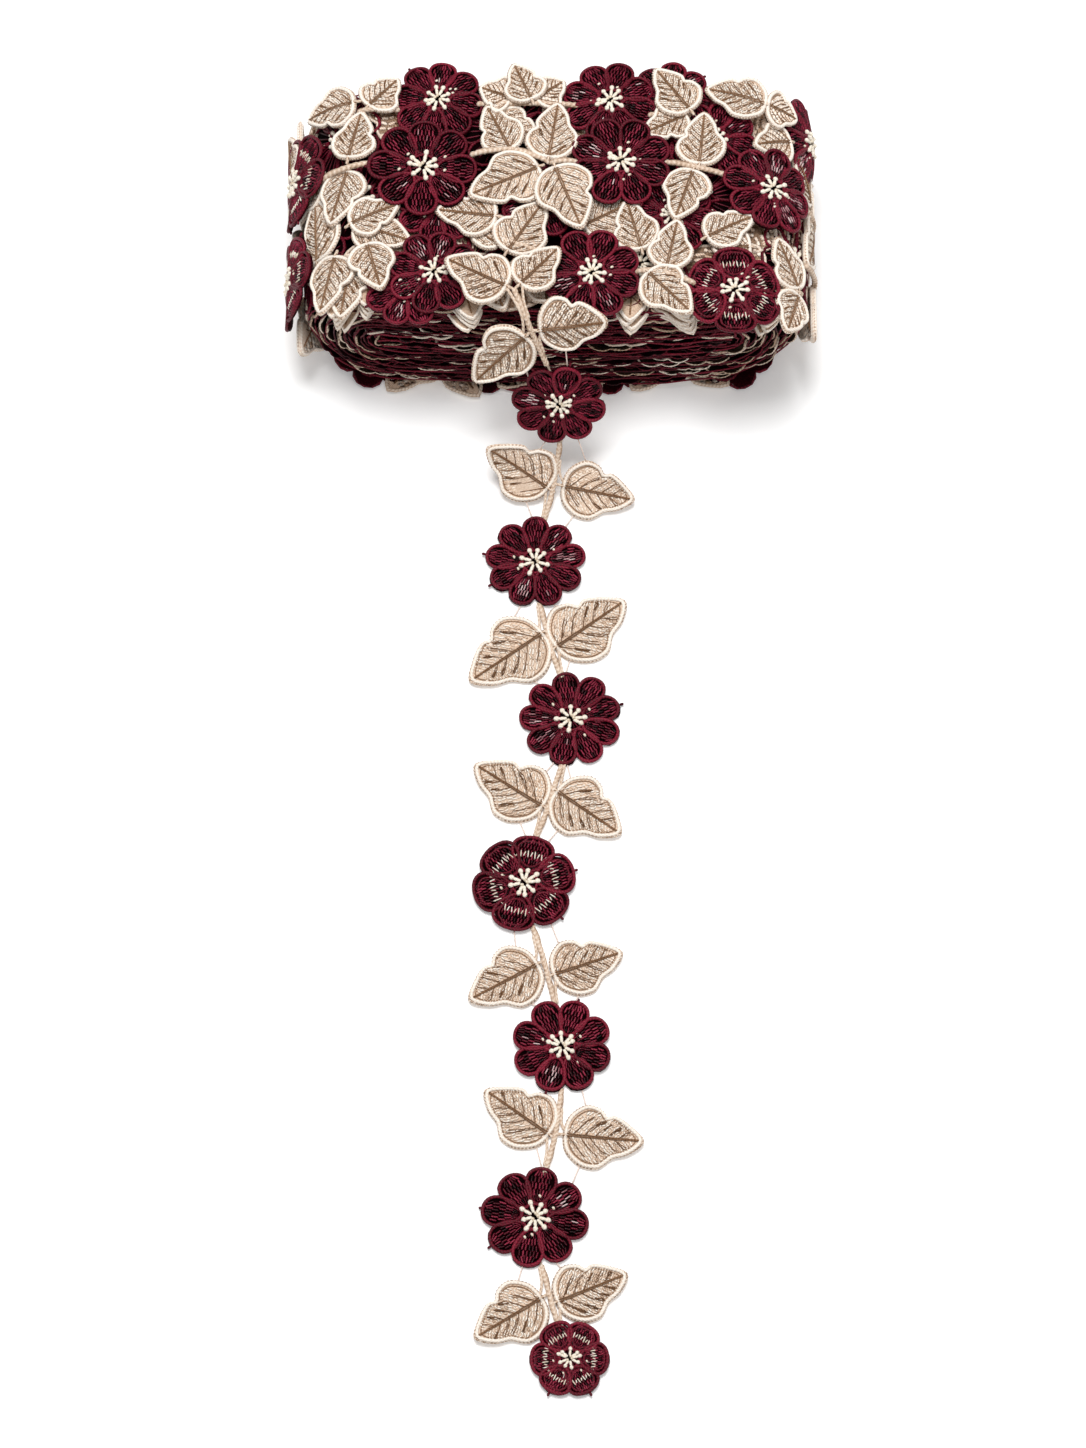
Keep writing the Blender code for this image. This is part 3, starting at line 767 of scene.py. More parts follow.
# %% Loose end
EndFlower = namedtuple("EndFlower", "along across petals size turn")
END_FLOWERS = [EndFlower(*numbers) for numbers in (
    (43.8, 1.0, 8, 0.98, 10), (86.0, -4.7, 9, 1.04, 0), (126.0, 3.6, 9, 1.06, 8), (166.8, -7.1, 6, 1.05, 15),
    (206.4, 1.5, 8, 1.00, 4), (246.5, -4.6, 8, 1.05, 12), (279.1, 3.0, 6, 0.79, 0),
)]
EndPair = namedtuple("EndPair", "along across left_lean left_size right_lean right_size left_on right_on")
END_PAIRS = [EndPair(*numbers) for numbers in (
    (14.0, -9.4, -26, 0.86, -46, 0.72, 0.0, 0.0), (23.0, -5.5, 46, 0.94, -8, 0.86, 0.0, 0.0),
    (64.5, 0.0, -37, 0.97, 12, 0.93, 3.7, 1.5), (106.0, -1.4, 37, 1.13, -36, 1.08, -3.0, 3.0),
    (146.3, -1.2, -33, 1.01, 37, 0.99, 2.6, -3.5), (186.7, -2.3, 30, 0.97, -19, 0.90, -1.2, 3.0),
    (226.1, 0.1, -36, 0.96, 6, 0.96, 2.2, 0.9), (263.8, -1.5, 33, 0.95, -22, 0.91, 0.3, 3.0),
)]
EndLeaf = namedtuple("EndLeaf", "side back size turn toward node")
END_LEAF_WIDTH = 15.6 * MM
END_LEAF_BASE = 1.5 * MM
GROUND_SHARE = 0.93
GROUND_TOP = 0.36 * MM
rng = np.random.default_rng(7)


def end_leaves():
    """The leaves of the loose end one by one, each with its side, its direction and the point where it
    leaves the stem."""
    for row in END_PAIRS:
        left = (-1, row.left_lean, row.left_size, row.left_on)
        for side, lean, size, on in (left, (1, row.right_lean, row.right_size, row.right_on)):
            turn = side * (np.pi / 2 - np.radians(lean))
            yield EndLeaf(
                side, -1.0 if lean > 0 else 1.0, size, turn, np.array([np.cos(turn), np.sin(turn)]),
                mm(row.along + on, row.across))


def shoelace(outline):
    """Area inside a flat outline: half the sum of the cross products of neighbouring corners."""
    x, y = outline.T
    return abs(np.dot(x, np.roll(y, -1)) - np.dot(y, np.roll(x, -1))) / 2


def ground(outline, centre, turn, mirror=1):
    """Lays the thin under-stitching of a motif, a little inside its edge, and gives its edge and its
    area."""
    middle = outline.mean(axis=0)
    inside = middle + GROUND_SHARE * (outline - middle)
    body = plate(inside, 0.0, GROUND_TOP, 0.1, (0.4, 0.5))
    set_motif("loose_end", [Piece("ground", body)], centre, turn, along_loose_end, mirror=mirror)
    return in_strip(outline, centre, turn, mirror), shoelace(outline)


flowers = []
for row in END_FLOWERS:
    centre, turn = mm(row.along, row.across), np.radians(row.turn)
    bodies = flower(row.petals, row.size, rng)
    set_motif("loose_end", bodies, centre, turn, along_loose_end, cup=rng.uniform(-0.2, 0.3) * MM)
    flowers.append(ground(flower_outline(row.petals, FLOWER_RADIUS * row.size, 7), centre, turn))
leaves = []
for row in end_leaves():
    length, width = LEAF_LENGTH * row.size, END_LEAF_WIDTH * row.size
    centre = row.node + END_LEAF_BASE * row.toward
    bodies = leaf(length, width, rng, stalk=1.4 * MM)
    set_motif(
        "loose_end", bodies, centre, row.turn, along_loose_end, lift=0.05 * MM, mirror=row.side,
        curl=rng.uniform(0.0, 1.1) * MM, size=length)
    leaves.append(ground(leaf_edge(length, width, 2), centre, row.turn, row.side))
flat_area = sum(area for _, area in flowers + leaves)
print("flat area of the loose end's motifs:", round(flat_area / MM ** 2), "square mm")

# %% [markdown]
# Stem and bridges
#
# Between the motifs runs one stem, a thick cord that a thinner one crosses, and a few very thin threads
# bridge from a leaf to the flower next to it. A bridge goes where a leaf's edge comes nearest to a
# flower's, if the gap isn't wide.

# %% Stem and bridges of the loose end
STEM_RADIUS = 0.78 * MM
STEM_HEIGHT = 0.72 * MM
STEM_UNDER_PETALS = 0.30 * MM
CORE_RADIUS = 0.3 * MM
BRIDGE_RADIUS = 0.17 * MM
BRIDGE_HEIGHT = 0.6 * MM
BRIDGE_REACH = 8.5 * MM
STALK_BACK = mm(6.0, 2.4)
STALK_ASIDE = mm(0.62, 1.05)
STALK_END = 2.6 * MM

stops = sorted([(row.along, row.across) for row in END_FLOWERS + END_PAIRS])
stem_line = smooth_line(mm(*stops), STEM_HEIGHT)
ribbon = stem_line[:, :2]
clear = np.ones(len(ribbon), bool)
for row in END_FLOWERS:
    away = np.linalg.norm(ribbon - mm(row.along, row.across), axis=1) / (FLOWER_RADIUS * row.size)
    clear &= away > 0.80
    stem_line[away < 0.98, 2] = STEM_UNDER_PETALS
starts = np.flatnonzero(clear & ~np.roll(clear, 1))
stem_pieces = []
for start in starts:
    stop = start + int(np.argmin(clear[start:])) if not clear[start:].all() else len(clear)
    if stop - start > 2:
        stem_pieces.append(Piece("stems", stem_cord(stem_line[start:stop], STEM_RADIUS)))
for row in end_leaves():
    along = row.node[0] + STALK_BACK * row.back
    across = np.interp(along, *ribbon.T) + STALK_ASIDE * row.side
    corners = np.vstack([np.column_stack([along, across]), row.node + STALK_END * row.toward])
    line = smooth_line(corners, STEM_HEIGHT + 0.1 * MM, 6)
    stem_pieces.append(Piece("stems", cord(line, STALK_RADIUS, sides=6, tone=0.6)))
core = raised(ribbon, CORE_RADIUS)
stem_pieces.append(Piece("ground", cord(core, CORE_RADIUS, sides=6, tone=0.5)))
set_motif("loose_end", stem_pieces, (0, 0), 0, along_loose_end)
bridges = []
for edge, _ in leaves:
    for other, _ in flowers:
        gap = np.linalg.norm(edge[:, None] - other[None], axis=2)
        near = np.unravel_index(gap.argmin(), gap.shape)
        if 0.5 * MM < gap[near] < BRIDGE_REACH:
            ends = np.array([[*edge[near[0]], BRIDGE_HEIGHT], [*other[near[1]], BRIDGE_HEIGHT]])
            inward = (ends[1] - ends[0]) / gap[near] * 0.6 * MM
            path = np.array([ends[0] - inward, ends.mean(axis=0), ends[1] + inward])
            bridges.append(cord(path, BRIDGE_RADIUS, sides=5))
set_motif("loose_end", [Piece("bridges", joined(bridges))], (0, 0), 0, along_loose_end)
stem_length = distance_along(ribbon)[-1]
flat_area += 2 * STEM_RADIUS * stem_length
print(len(bridges), "bridges, stem", round(stem_length / MM), "mm long")

# %% [markdown]
# The outer turns of the bundle
#
# On top of the bundle the strips lie side by side and over each other. The flowers and leaves that show are
# placed one by one, each with its distance along the turn from the middle of the top and its distance
# across. The level says how many layers it lies above the turn below. The petals of the flowers at the back
# droop. Round the ends and underneath, the motifs follow a plain rule.

# %% Motifs on the outer turns
TopFlower = namedtuple("TopFlower", "along across petals size turn level")
TOP_FLOWERS = [TopFlower(*numbers) for numbers in (
    (-27.9, -21.4, 8, 0.96, 8, 1), (8.4, -22.4, 8, 1.04, 3, 2), (41.2, -26.2, 6, 1.00, 0, 1),
    (-67.5, -15.5, 6, 0.98, 25, 2), (-64.5, 9.4, 6, 1.02, 10, 2), (-30.6, 5.5, 8, 1.12, 20, 2),
    (15.2, 7.1, 8, 1.06, 0, 2), (49.8, 1.2, 8, 0.97, 12, 2), (-27.4, 24.4, 8, 0.97, 14, 1),
    (12.9, 24.0, 8, 1.00, 5, 1), (65.0, 20.5, 8, 1.00, 0, 1), (37.2, 14.4, 8, 0.92, 9, 0),
    (-34.0, -25.0, 8, 0.90, 4, 0), (27.0, 25.5, 8, 0.90, 17, 0), (27.0, -6.0, 8, 0.92, 10, 0),
    (-3.0, -2.0, 8, 0.90, 2, 0), (-27.0, -3.0, 8, 0.92, 12, 0),
)]
TopLeaf = namedtuple("TopLeaf", "along across tip_along tip_across level")
TOP_LEAVES = [TopLeaf(*numbers) for numbers in (
    (-46.2, 24.2, -60.2, 23.6, 1), (-43.6, 22.4, -36.4, 30.0, 1), (-47.5, 8.3, -44.6, 21.2, 2),
    (-47.8, 6.5, -52.3, -7.6, 1), (-47.5, -8.5, -35.8, -3.6, 1), (-57.0, -15.2, -58.6, 3.0, 0),
    (-5.3, 23.2, -9.8, 33.4, 2), (-9.9, 24.6, -17.8, 27.4, 1), (-4.8, 24.2, 2.4, 29.4, 1),
    (-10.2, 10.4, -16.2, 23.0, 1), (-3.4, 5.7, -20.2, -2.2, 2), (-13.2, -7.0, -28.0, -5.2, 1),
    (-11.2, -16.4, -2.4, -2.6, 1), (-1.6, 7.5, 0.8, 22.8, 2), (-0.2, 5.4, 6.2, -11.6, 3),
    (31.8, 20.4, 23.3, 32.0, 2), (49.0, 23.2, 34.9, 26.6, 2), (48.6, 23.4, 57.2, 22.2, 2),
    (56.2, 16.6, 45.8, 12.4, 1), (33.4, 5.8, 34.9, 20.6, 2), (32.2, 5.1, 27.5, -8.6, 2),
    (31.0, 20.3, 20.4, 14.9, 1), (20.0, -16.0, 16.4, -2.2, 1), (34.6, -12.6, 46.0, -6.4, 1),
    (-50.5, -15.4, -54.8, -30.0, 1), (-43.2, -14.2, -39.9, -27.0, 2), (-47.0, -17.0, -50.0, -32.0, 0),
    (25.5, -21.4, 28.4, -8.2, 2), (21.0, -21.8, 31.4, -33.2, 2), (57.5, -22.4, 51.0, -10.6, 1),
    (57.5, -23.2, 53.2, -35.0, 1), (-56.0, 8.0, -68.0, 1.0, 0), (45.5, -14.0, 36.0, -14.5, 0),
    (-20.0, -10.5, -8.0, -9.0, 0), (-17.0, -19.0, -11.5, -31.0, 0), (-14.0, 20.5, -3.5, 14.0, 0),
    (6.0, -9.0, 20.0, -1.5, 0), (-47.0, -8.0, -33.0, -13.0, 0), (-5.0, -20.0, 4.0, -31.0, 0),
    (-66.0, 12.0, -70.0, 25.0, 2), (69.0, 6.0, 58.5, 15.5, 0), (-73.5, -10.0, -79.0, 5.0, 1),
)]
TopStem = namedtuple("TopStem", "along across to_along to_across level")
TOP_STEMS = [TopStem(*numbers) for numbers in (
    (-19.5, 9.3, -10.0, 10.8, 2), (-10.0, 10.8, -1.0, 7.2, 2), (-1.0, 7.2, 5.5, 7.3, 2),
    (25.5, 7.4, 40.0, 3.8, 2), (-55.0, 5.4, -41.5, 7.2, 2), (18.5, -21.6, 24.0, -21.8, 2),
    (24.0, -21.8, 32.0, -24.6, 2), (22.0, 20.6, 31.5, 20.6, 1), (-36.5, 22.0, -46.0, 21.8, 1),
    (-14.0, -12.0, 0.5, -17.5, 1), (-44.0, -13.8, -36.0, -18.0, 1), (60.0, -21.8, 50.5, -25.2, 1),
    (-18.0, 23.6, 5.5, 23.2, 1),
)]
LEVEL = 1.15 * MM
LOWEST_LEVEL = -1.1 * MM
BACK_STARTS = 20
BACK_DROOP = 1.7
STEM_RISE = 0.9 * MM

for row in TOP_FLOWERS:
    bodies = flower(row.petals, row.size, rng)
    droop = BACK_DROOP if row.across > BACK_STARTS else 0.0
    set_motif(
        "bundle", bodies, mm(row.along, row.across), np.radians(row.turn), round_turn,
        lift=LOWEST_LEVEL + row.level * LEVEL, cup=(rng.uniform(-0.4, 0.1) - droop) * MM)
for row in TOP_LEAVES:
    reach = mm(row.tip_along - row.along, row.tip_across - row.across)
    length = np.linalg.norm(reach)
    bodies = leaf(length, max(0.80 * length, 10.5 * MM), rng, stalk=1.0 * MM)
    set_motif(
        "bundle", bodies, mm(row.along, row.across), np.arctan2(reach[1], reach[0]), round_turn,
        lift=LOWEST_LEVEL + row.level * LEVEL + 0.2 * MM, mirror=1 if rng.random() < 0.5 else -1,
        curl=rng.uniform(-0.5, 0.4) * MM, size=length)
for row in TOP_STEMS:
    start = mm(row.along, row.across)
    share = np.linspace(0, 1, 7)
    middle = start + share[:, None] * (mm(row.to_along, row.to_across) - start)
    rise = STEM_RISE * np.sin(np.pi * share) ** 0.5
    path = raised(middle, STEM_HEIGHT + LOWEST_LEVEL + row.level * LEVEL - 0.7 * MM + rise)
    set_motif("bundle", [Piece("stems", stem_cord(path, STEM_RADIUS))], (0, 0), 0, round_turn)
print(len(TOP_FLOWERS), "flowers and", len(TOP_LEAVES), "leaves on top")

# %% [markdown]
# Round the ends
#
# Past the top, two or three strips go on round each end. A strip is a stem from a flower on top, or from
# its place there, to the next flower, with a leaf pair about half way. Leaves lie low and flowers over
# them, less so further down. The tilt says which way a pair's leaves lean.

# %% Motifs round the ends
EndStrip = namedtuple("EndStrip", "name tilt from_along from_across along across turn")
END_STRIPS = (
    EndStrip("left back", -1, -60, 16, -97, 13, 0),
    EndStrip("left front", 1, -67, -15, -103, -11, 16),
    EndStrip("right back", 1, 65, 15, 114, 15, 9),
    EndStrip("right middle", -1, 50, 1, 93, 3, 4),
    EndStrip("right front", -1, 52, -14, 106, -12, 9),
)
LEAF_LEAN = np.radians(36)
LEAF_SINK = -0.5 * MM
NODE_SHARE = 0.53
END_LEAF_SIZE = 0.96
FLOWER_RISE = 0.9 * MM
LEVEL_END = 100 * MM
LEVEL_FADE = 14 * MM

for strip in END_STRIPS:
    here = mm(strip.along, strip.across)
    fade = np.clip((LEVEL_END - abs(here[0])) / LEVEL_FADE, 0, 1)
    bodies = flower(8, 1.0, rng)
    set_motif("bundle", bodies, here, np.radians(strip.turn), round_turn, lift=FLOWER_RISE * fade)
    before = mm(strip.from_along, strip.from_across)
    gap = here - before
    node = before + NODE_SHARE * gap
    for side in (1, -1):
        turn = np.arctan2(gap[1], gap[0]) + side * (np.pi / 2) + strip.tilt * LEAF_LEAN
        bodies = leaf(END_LEAF_SIZE * LEAF_LENGTH, END_LEAF_SIZE * LEAF_WIDTH, rng, stalk=1 * MM, back=True)
        set_motif("bundle", bodies, node, turn, round_turn, lift=LEAF_SINK, mirror=side, size=LEAF_LENGTH)
    inset = 0.85 * FLOWER_RADIUS * gap / np.linalg.norm(gap)
    line = smooth_line(np.array([before + inset, node, here - inset]), STEM_HEIGHT)
    stem = [Piece("stems", stem_cord(line, STEM_RADIUS))]
    set_motif("bundle", stem, (0, 0), 0, round_turn, lift=LEAF_SINK + 0.4 * MM)
print("strips round the ends:", [strip.name for strip in END_STRIPS])

# %% [markdown]
# The turns inside
#
# Below the outer turns the same strip goes round and round. Only its edges show, at the front and at the
# back, where each motif is a short scalloped lobe with a raised cord along it: three petals of a flower, or
# two leaves. So an inner turn is a row of lobes, not of whole motifs. They go turn by turn inward, and each
# turn is shorter, so the lobes drift and stack as the motifs do on a real winding. The edge wanders by a
# few slow waves, different for each turn, and one thin cord behind the lobes keeps each turn's line whole.
# The first inner turn shows through gaps on top, so it has whole motifs.

# %% Winding
TURN_PITCH = 1.34 * MM
FIRST_INSET = 1.9 * MM
TURNS = 14
MOTIF_STEP = 19 * MM
LOBE_DEPTH = 10 * MM
LOBE_STEP = 11 * MM
LOBE_POINTS = 13
EDGE_LINE_STEP = 2.2 * MM
Row = namedtuple("Row", "name phase")
ROWS = (Row("front", 0.0), Row("back", 0.4), Row("middle", 0.7))


def turn_inset(turn):
    """How far an inner turn lies inside the outer one."""
    return FIRST_INSET + turn * TURN_PITCH


def turn_length(inset):
    """Length once round a turn: both straights and the full circle of its radius."""
    return 4 * HALF_STRAIGHT + 2 * np.pi * (TURN_RADIUS - inset)


def x_on_turn(along, inset):
    """X of points a distance along a turn."""
    return round_turn(raised(np.column_stack([along, 0 * along]), 0.0), inset)[:, 0]


def edge_wander(x, turn):
    """How far the edge of a turn lies inside the bundle's edge: three sines of unlike lengths, 0.2 to 1.4
    mm."""
    wave = np.sin(x / (13 * MM) + 1.9 * turn) + 0.8 * np.sin(x / (5.3 * MM) + 3.7 * turn)
    return (0.8 + 0.28 * wave + 0.12 * np.sin(x / (2.1 * MM) + turn)) * MM


def wandering(points, turn):
    """One inner turn, bent up and down by two slow waves as it goes."""
    along, across, height = points.T
    wave = 0.30 * np.sin(along / (8.3 * MM) + 0.9 * turn)
    wave = wave + 0.20 * np.sin(along / (3.1 * MM) + across / (5 * MM) + 2 * turn)
    return round_turn(np.column_stack([along, across, height - 0.5 * MM + wave * MM]), turn_inset(turn))


def lobe(width, scallops, rng):
    """The outer part of a motif: a thin plate with a scalloped edge and a cord along it.

    The edge is an arch that falls back at both ends, with a smaller arch for each scallop cut into it.
    """
    share = np.linspace(0, 1, LOBE_POINTS)
    arch = np.sqrt(np.clip(1 - (2 * share - 1) ** 2, 0, None))
    scallop = np.abs(np.sin(np.pi * scallops * share)) ** 0.6
    lean = rng.uniform(-0.7, 0.7) * MM * (share - 0.5)
    fall = rng.uniform(1.2, 2.4) * MM
    edge = np.column_stack([(share - 0.5) * width, -fall * (1 - arch) - 0.6 * MM * (1 - scallop) + lean])
    back = np.array([[0.42 * width, -LOBE_DEPTH], [-0.42 * width, -LOBE_DEPTH]])
    outline = np.concatenate([edge, back])[::-1]
    kind = "petal_cords" if scallops == 3 else "leaf_cords"
    base = "flower_ground" if scallops == 3 else "inner_ground"
    wave = 0.22 * MM * np.sin(2 * np.pi * (rng.uniform(1.0, 2.5) * share + rng.random()))
    line = raised(edge + [0, -0.2 * MM], 0.5 * MM + wave)
    radius = (0.26 if scallops == 3 else 0.32) * MM
    # The lobe's plate is painted dark, as the shade between the turns; only its cord shows the yarn.
    return [
        Piece(base, plate(outline, 0.12 * MM, 0.50 * MM, 0.05, (-0.1, 0.12))),
        Piece(kind, cord(line, radius, sides=4, tone=rng.uniform(0.0, 0.75)))]


def place_lobes(row, rng):
    """Sets the lobes of the front or the back edge, turn by turn inward.

    A turn has four quarters: from the middle of its upper or lower straight out to the left or the right.
    In each the lobes follow each other by one step, and lobes of the next turn start a little further out.
    """
    outward = 1 if row.name == "back" else -1
    number = 0
    for turn in range(1, TURNS):
        inset = turn_inset(turn)
        radius = TURN_RADIUS - inset
        quarter = HALF_STRAIGHT + np.pi / 2 * radius
        drift = (row.phase + 0.16 * turn) % 2.0 - 2.0
        for below, side in ((0, 1), (0, -1), (1, 1), (1, -1)):
            for station in range(int(quarter / LOBE_STEP) + 3):
                out = (station + drift + 0.7 * below + 0.4 * (side > 0)) * LOBE_STEP + rng.uniform(-1, 1) * MM
                if not 0 <= out < quarter:
                    continue
                along = side * (2 * quarter - out if below else out)
                x = x_on_turn(np.array([along]), inset)[0]
                edge = edge_back(x) if outward > 0 else edge_front(x)
                scallops = 2 if rng.random() < 0.26 + 0.16 * abs(x) / HALF_STRAIGHT else 3
                width = LOBE_STEP * rng.uniform(0.95, 1.25)
                centre = (along, edge - outward * edge_wander(x, turn + 9 * outward))
                set_motif(
                    "winding", lobe(width, scallops, rng), centre,
                    rng.uniform(-0.04, 0.04) + (0 if outward > 0 else np.pi), partial(wandering, turn=turn))
                number += 1
    return number


def edge_line(row, turn, rng):
    """One thin cord all round an inner turn, a little behind the edge of its lobes."""
    inset = turn_inset(turn)
    length = turn_length(inset)
    along = np.linspace(-0.5, 0.5, int(length / EDGE_LINE_STEP), endpoint=False) * length
    x = x_on_turn(along, inset)
    edge, inward = (edge_back(x), -1) if row.name == "back" else (edge_front(x), 1)
    across = edge + inward * (0.5 * MM + edge_wander(x, turn + 4 * inward))
    height = 0.9 * MM + 0.2 * MM * np.sin(along / (4.1 * MM) + rng.uniform(0, 6))
    placed = wandering(np.column_stack([along, across, height]), turn)
    return cord(placed, 0.24 * MM, sides=4, closed=True, tone=rng.uniform(0.1, 0.9))


def across_row(name, x, reach):
    """Where a motif of some reach sits across the bundle, so that its outer part meets the edge of its
    row."""
    if name == "front":
        return edge_front(x) + reach
    return edge_back(x) - reach if name == "back" else 0.0


def whole_motif(row, kind, along, x, place, rng, lift=0.0, past=0.0):
    """One station of a row under the outer turn: a flower, or two leaves that point to the row's edge and
    may reach a little past it."""
    if kind == 0:
        size = rng.uniform(0.94, 1.06)
        across = across_row(row.name, x, 1.06 * FLOWER_RADIUS * size - past) + rng.uniform(-0.6, 0.6) * MM
        bodies = flower(8, size, rng, "medium")
        set_motif("under", bodies, (along, across), rng.uniform(0, 0.8), place, lift=lift)
        return
    outward = {"front": -1, "back": 1}.get(row.name, rng.choice([-1, 1]))
    node = across_row(row.name, x, 0.80 * LEAF_LENGTH - past)
    for side in (1, -1):
        turn_to = outward * (np.pi / 2 + side * rng.uniform(0.55, 0.85))
        bodies = leaf(LEAF_LENGTH * rng.uniform(0.85, 1.0), LEAF_WIDTH, rng, "medium", back=past > 0)
        set_motif("under", bodies, (along, node), turn_to, place, lift=lift)


def place_first_turn(row, rng):
    """Whole motifs along the first inner turn."""
    length = turn_length(FIRST_INSET)
    count = int(length / MOTIF_STEP)
    for station in range(count):
        along = ((station + row.phase) / count % 1.0 - 0.5) * length
        x = abs(x_on_turn(np.array([along]), FIRST_INSET)[0])
        whole_motif(row, station % 2, along, x, partial(wandering, turn=0), rng)
    return count


for row in ROWS:
    row_rng = np.random.default_rng(31 + len(row.name))
    print(row.name, "row:", place_first_turn(row, row_rng), "motifs on the first inner turn")
    if row.name != "middle":
        print(row.name, "edge:", place_lobes(row, row_rng), "lobes")
        lines = [edge_line(row, turn, row_rng) for turn in range(1, TURNS)]
        heaps["winding"]["petal_cords"] += lines

# %% [markdown]
# Under the bundle, and leaves that stack
#
# The outer turn also runs along underneath. Its motifs carry the bundle, and their scalloped edges show
# past its front. On top, near the front edge, the same leaf comes back turn after turn, so that its edges
# fan out like the pages of a book. Each step down is one turn lower and a little further out.

# %% Underside and stacked leaves
UNDERSIDE_STATIONS = 7
UNDERSIDE_HALF = HALF_STRAIGHT + 9 * MM
UNDERSIDE_LIFT = 0.12 * MM
UNDERSIDE_PAST = 2.4 * MM
Stack = namedtuple("Stack", "along across tip_along tip_across steps")
STACKS = [Stack(*numbers) for numbers in (
    (-49.0, -17.0, -53.0, -30.5, 5), (-43.0, -16.0, -44.0, -29.5, 4), (-23.0, -20.0, -19.5, -33.0, 4),
    (18.0, -20.0, 17.0, -33.5, 4), (25.0, -21.0, 31.0, -32.5, 5), (34.0, -20.0, 40.0, -32.0, 4),
    (53.0, -20.0, 50.0, -33.0, 4),
)]

under_rng = np.random.default_rng(5)
for row in ROWS:
    for station in range(UNDERSIDE_STATIONS):
        x = ((station + 0.5 + 0.3 * (row.name == "back")) / UNDERSIDE_STATIONS * 2 - 1) * UNDERSIDE_HALF
        along = HALF_STRAIGHT + np.pi * TURN_RADIUS + HALF_STRAIGHT - abs(x)
        side = 1 if x > 0 else -1
        reach = abs(x) - 3 * MM
        whole_motif(
            row, station % 2, side * along, reach, round_turn, under_rng, UNDERSIDE_LIFT, UNDERSIDE_PAST)
for row in STACKS:
    reach = mm(row.tip_along - row.along, row.tip_across - row.across)
    length = np.linalg.norm(reach)
    for step in range(row.steps):
        bodies = leaf(length + 0.5 * MM * step, 0.78 * length, under_rng, "plain")
        centre = mm(row.along + under_rng.uniform(-1.2, 1.2), row.across)
        set_motif(
            "bundle", bodies, centre, np.arctan2(reach[1], reach[0]), round_turn,
            lift=LOWEST_LEVEL - 0.5 * MM - step * LEVEL, size=length)
print(len(STACKS), "stacks of leaves")

# %% [markdown]
# The heart of the bundle
#
# The hollows between the turns look black, because light is lost among them. One dark closed body fills the
# winding behind its edges. It is a stadium drawn in from every side, its ring of points carried from the
# back to the front.

# %% Heart
HEART_INSET = 2.4 * MM
HEART_BACK_OFF = 9 * MM
HEART_POINTS = 72


def heart():
    """A closed stadium tube from the back to the front, its two ends closed by a middle point each."""
    along = np.linspace(-0.5, 0.5, HEART_POINTS, endpoint=False) * turn_length(HEART_INSET)
    rings = []
    for edge, inward in ((edge_back, -1), (edge_front, 1)):
        flat = round_turn(np.column_stack([along, 0 * along, 0 * along]), HEART_INSET)
        flat[:, 1] = edge(flat[:, 0]) + inward * HEART_BACK_OFF
        rings.append(flat)
    tips = np.array([ring.mean(axis=0) for ring in rings])
    points = np.concatenate(rings + [tips])
    return Body(points, tube_faces(2, HEART_POINTS, False), points[:, :2] / MM, np.full(len(points), 0.3))


heaps["heart"] = {"heart": [heart()]}
for group in heaps:
    facing_out(group)
print("groups:", {group: sorted(kinds) for group, kinds in heaps.items()})

# %% [markdown]
# Thread as a material
#
# All the yarns share one effect: fine plies that wind along the thread, and a colour that wanders between a
# dark, a middle and a light shade. The plies are bumped and also painted lighter and darker along the
# twist, as light and shade on them. It is a node group, built once. It reads the yarn map, whose first
# number is millimetres along the thread and whose second is the share round it, and the tone kept on each
# stitch. The group gives a colour, a roughness and a height, and each material has its own shader.

# %% Node group
NOISE_SCALES = (260.0, 2600.0)
FUZZ_SHADE = 0.7
FUZZ_ROUGHNESS = 0.35
PLY_PAINTED_SHADE = 0.17
BUMP_STRENGTH = 0.5
BUMP_DISTANCE = 0.12 * MM


def link(tree, output, target):
    """Joins an output socket to an input socket."""
    tree.links.new(output, target)


def math_node(tree, operation, first, second=None):
    """A Math node, each input a number or another node's output."""
    node = tree.nodes.new("ShaderNodeMath")
    node.operation = operation
    for slot, value in zip(node.inputs, (first, second)):
        if value is None:
            continue
        if isinstance(value, (int, float)):
            slot.default_value = value
        else:
            link(tree, value, slot)
    return node.outputs[0]


def mix_colour(tree, share, first, second):
    """A Mix node for two colours."""
    node = tree.nodes.new("ShaderNodeMix")
    node.data_type = "RGBA"
    link(tree, share, node.inputs["Factor"])
    link(tree, first, node.inputs[6])
    link(tree, second, node.inputs[7])
    return node.outputs[2]


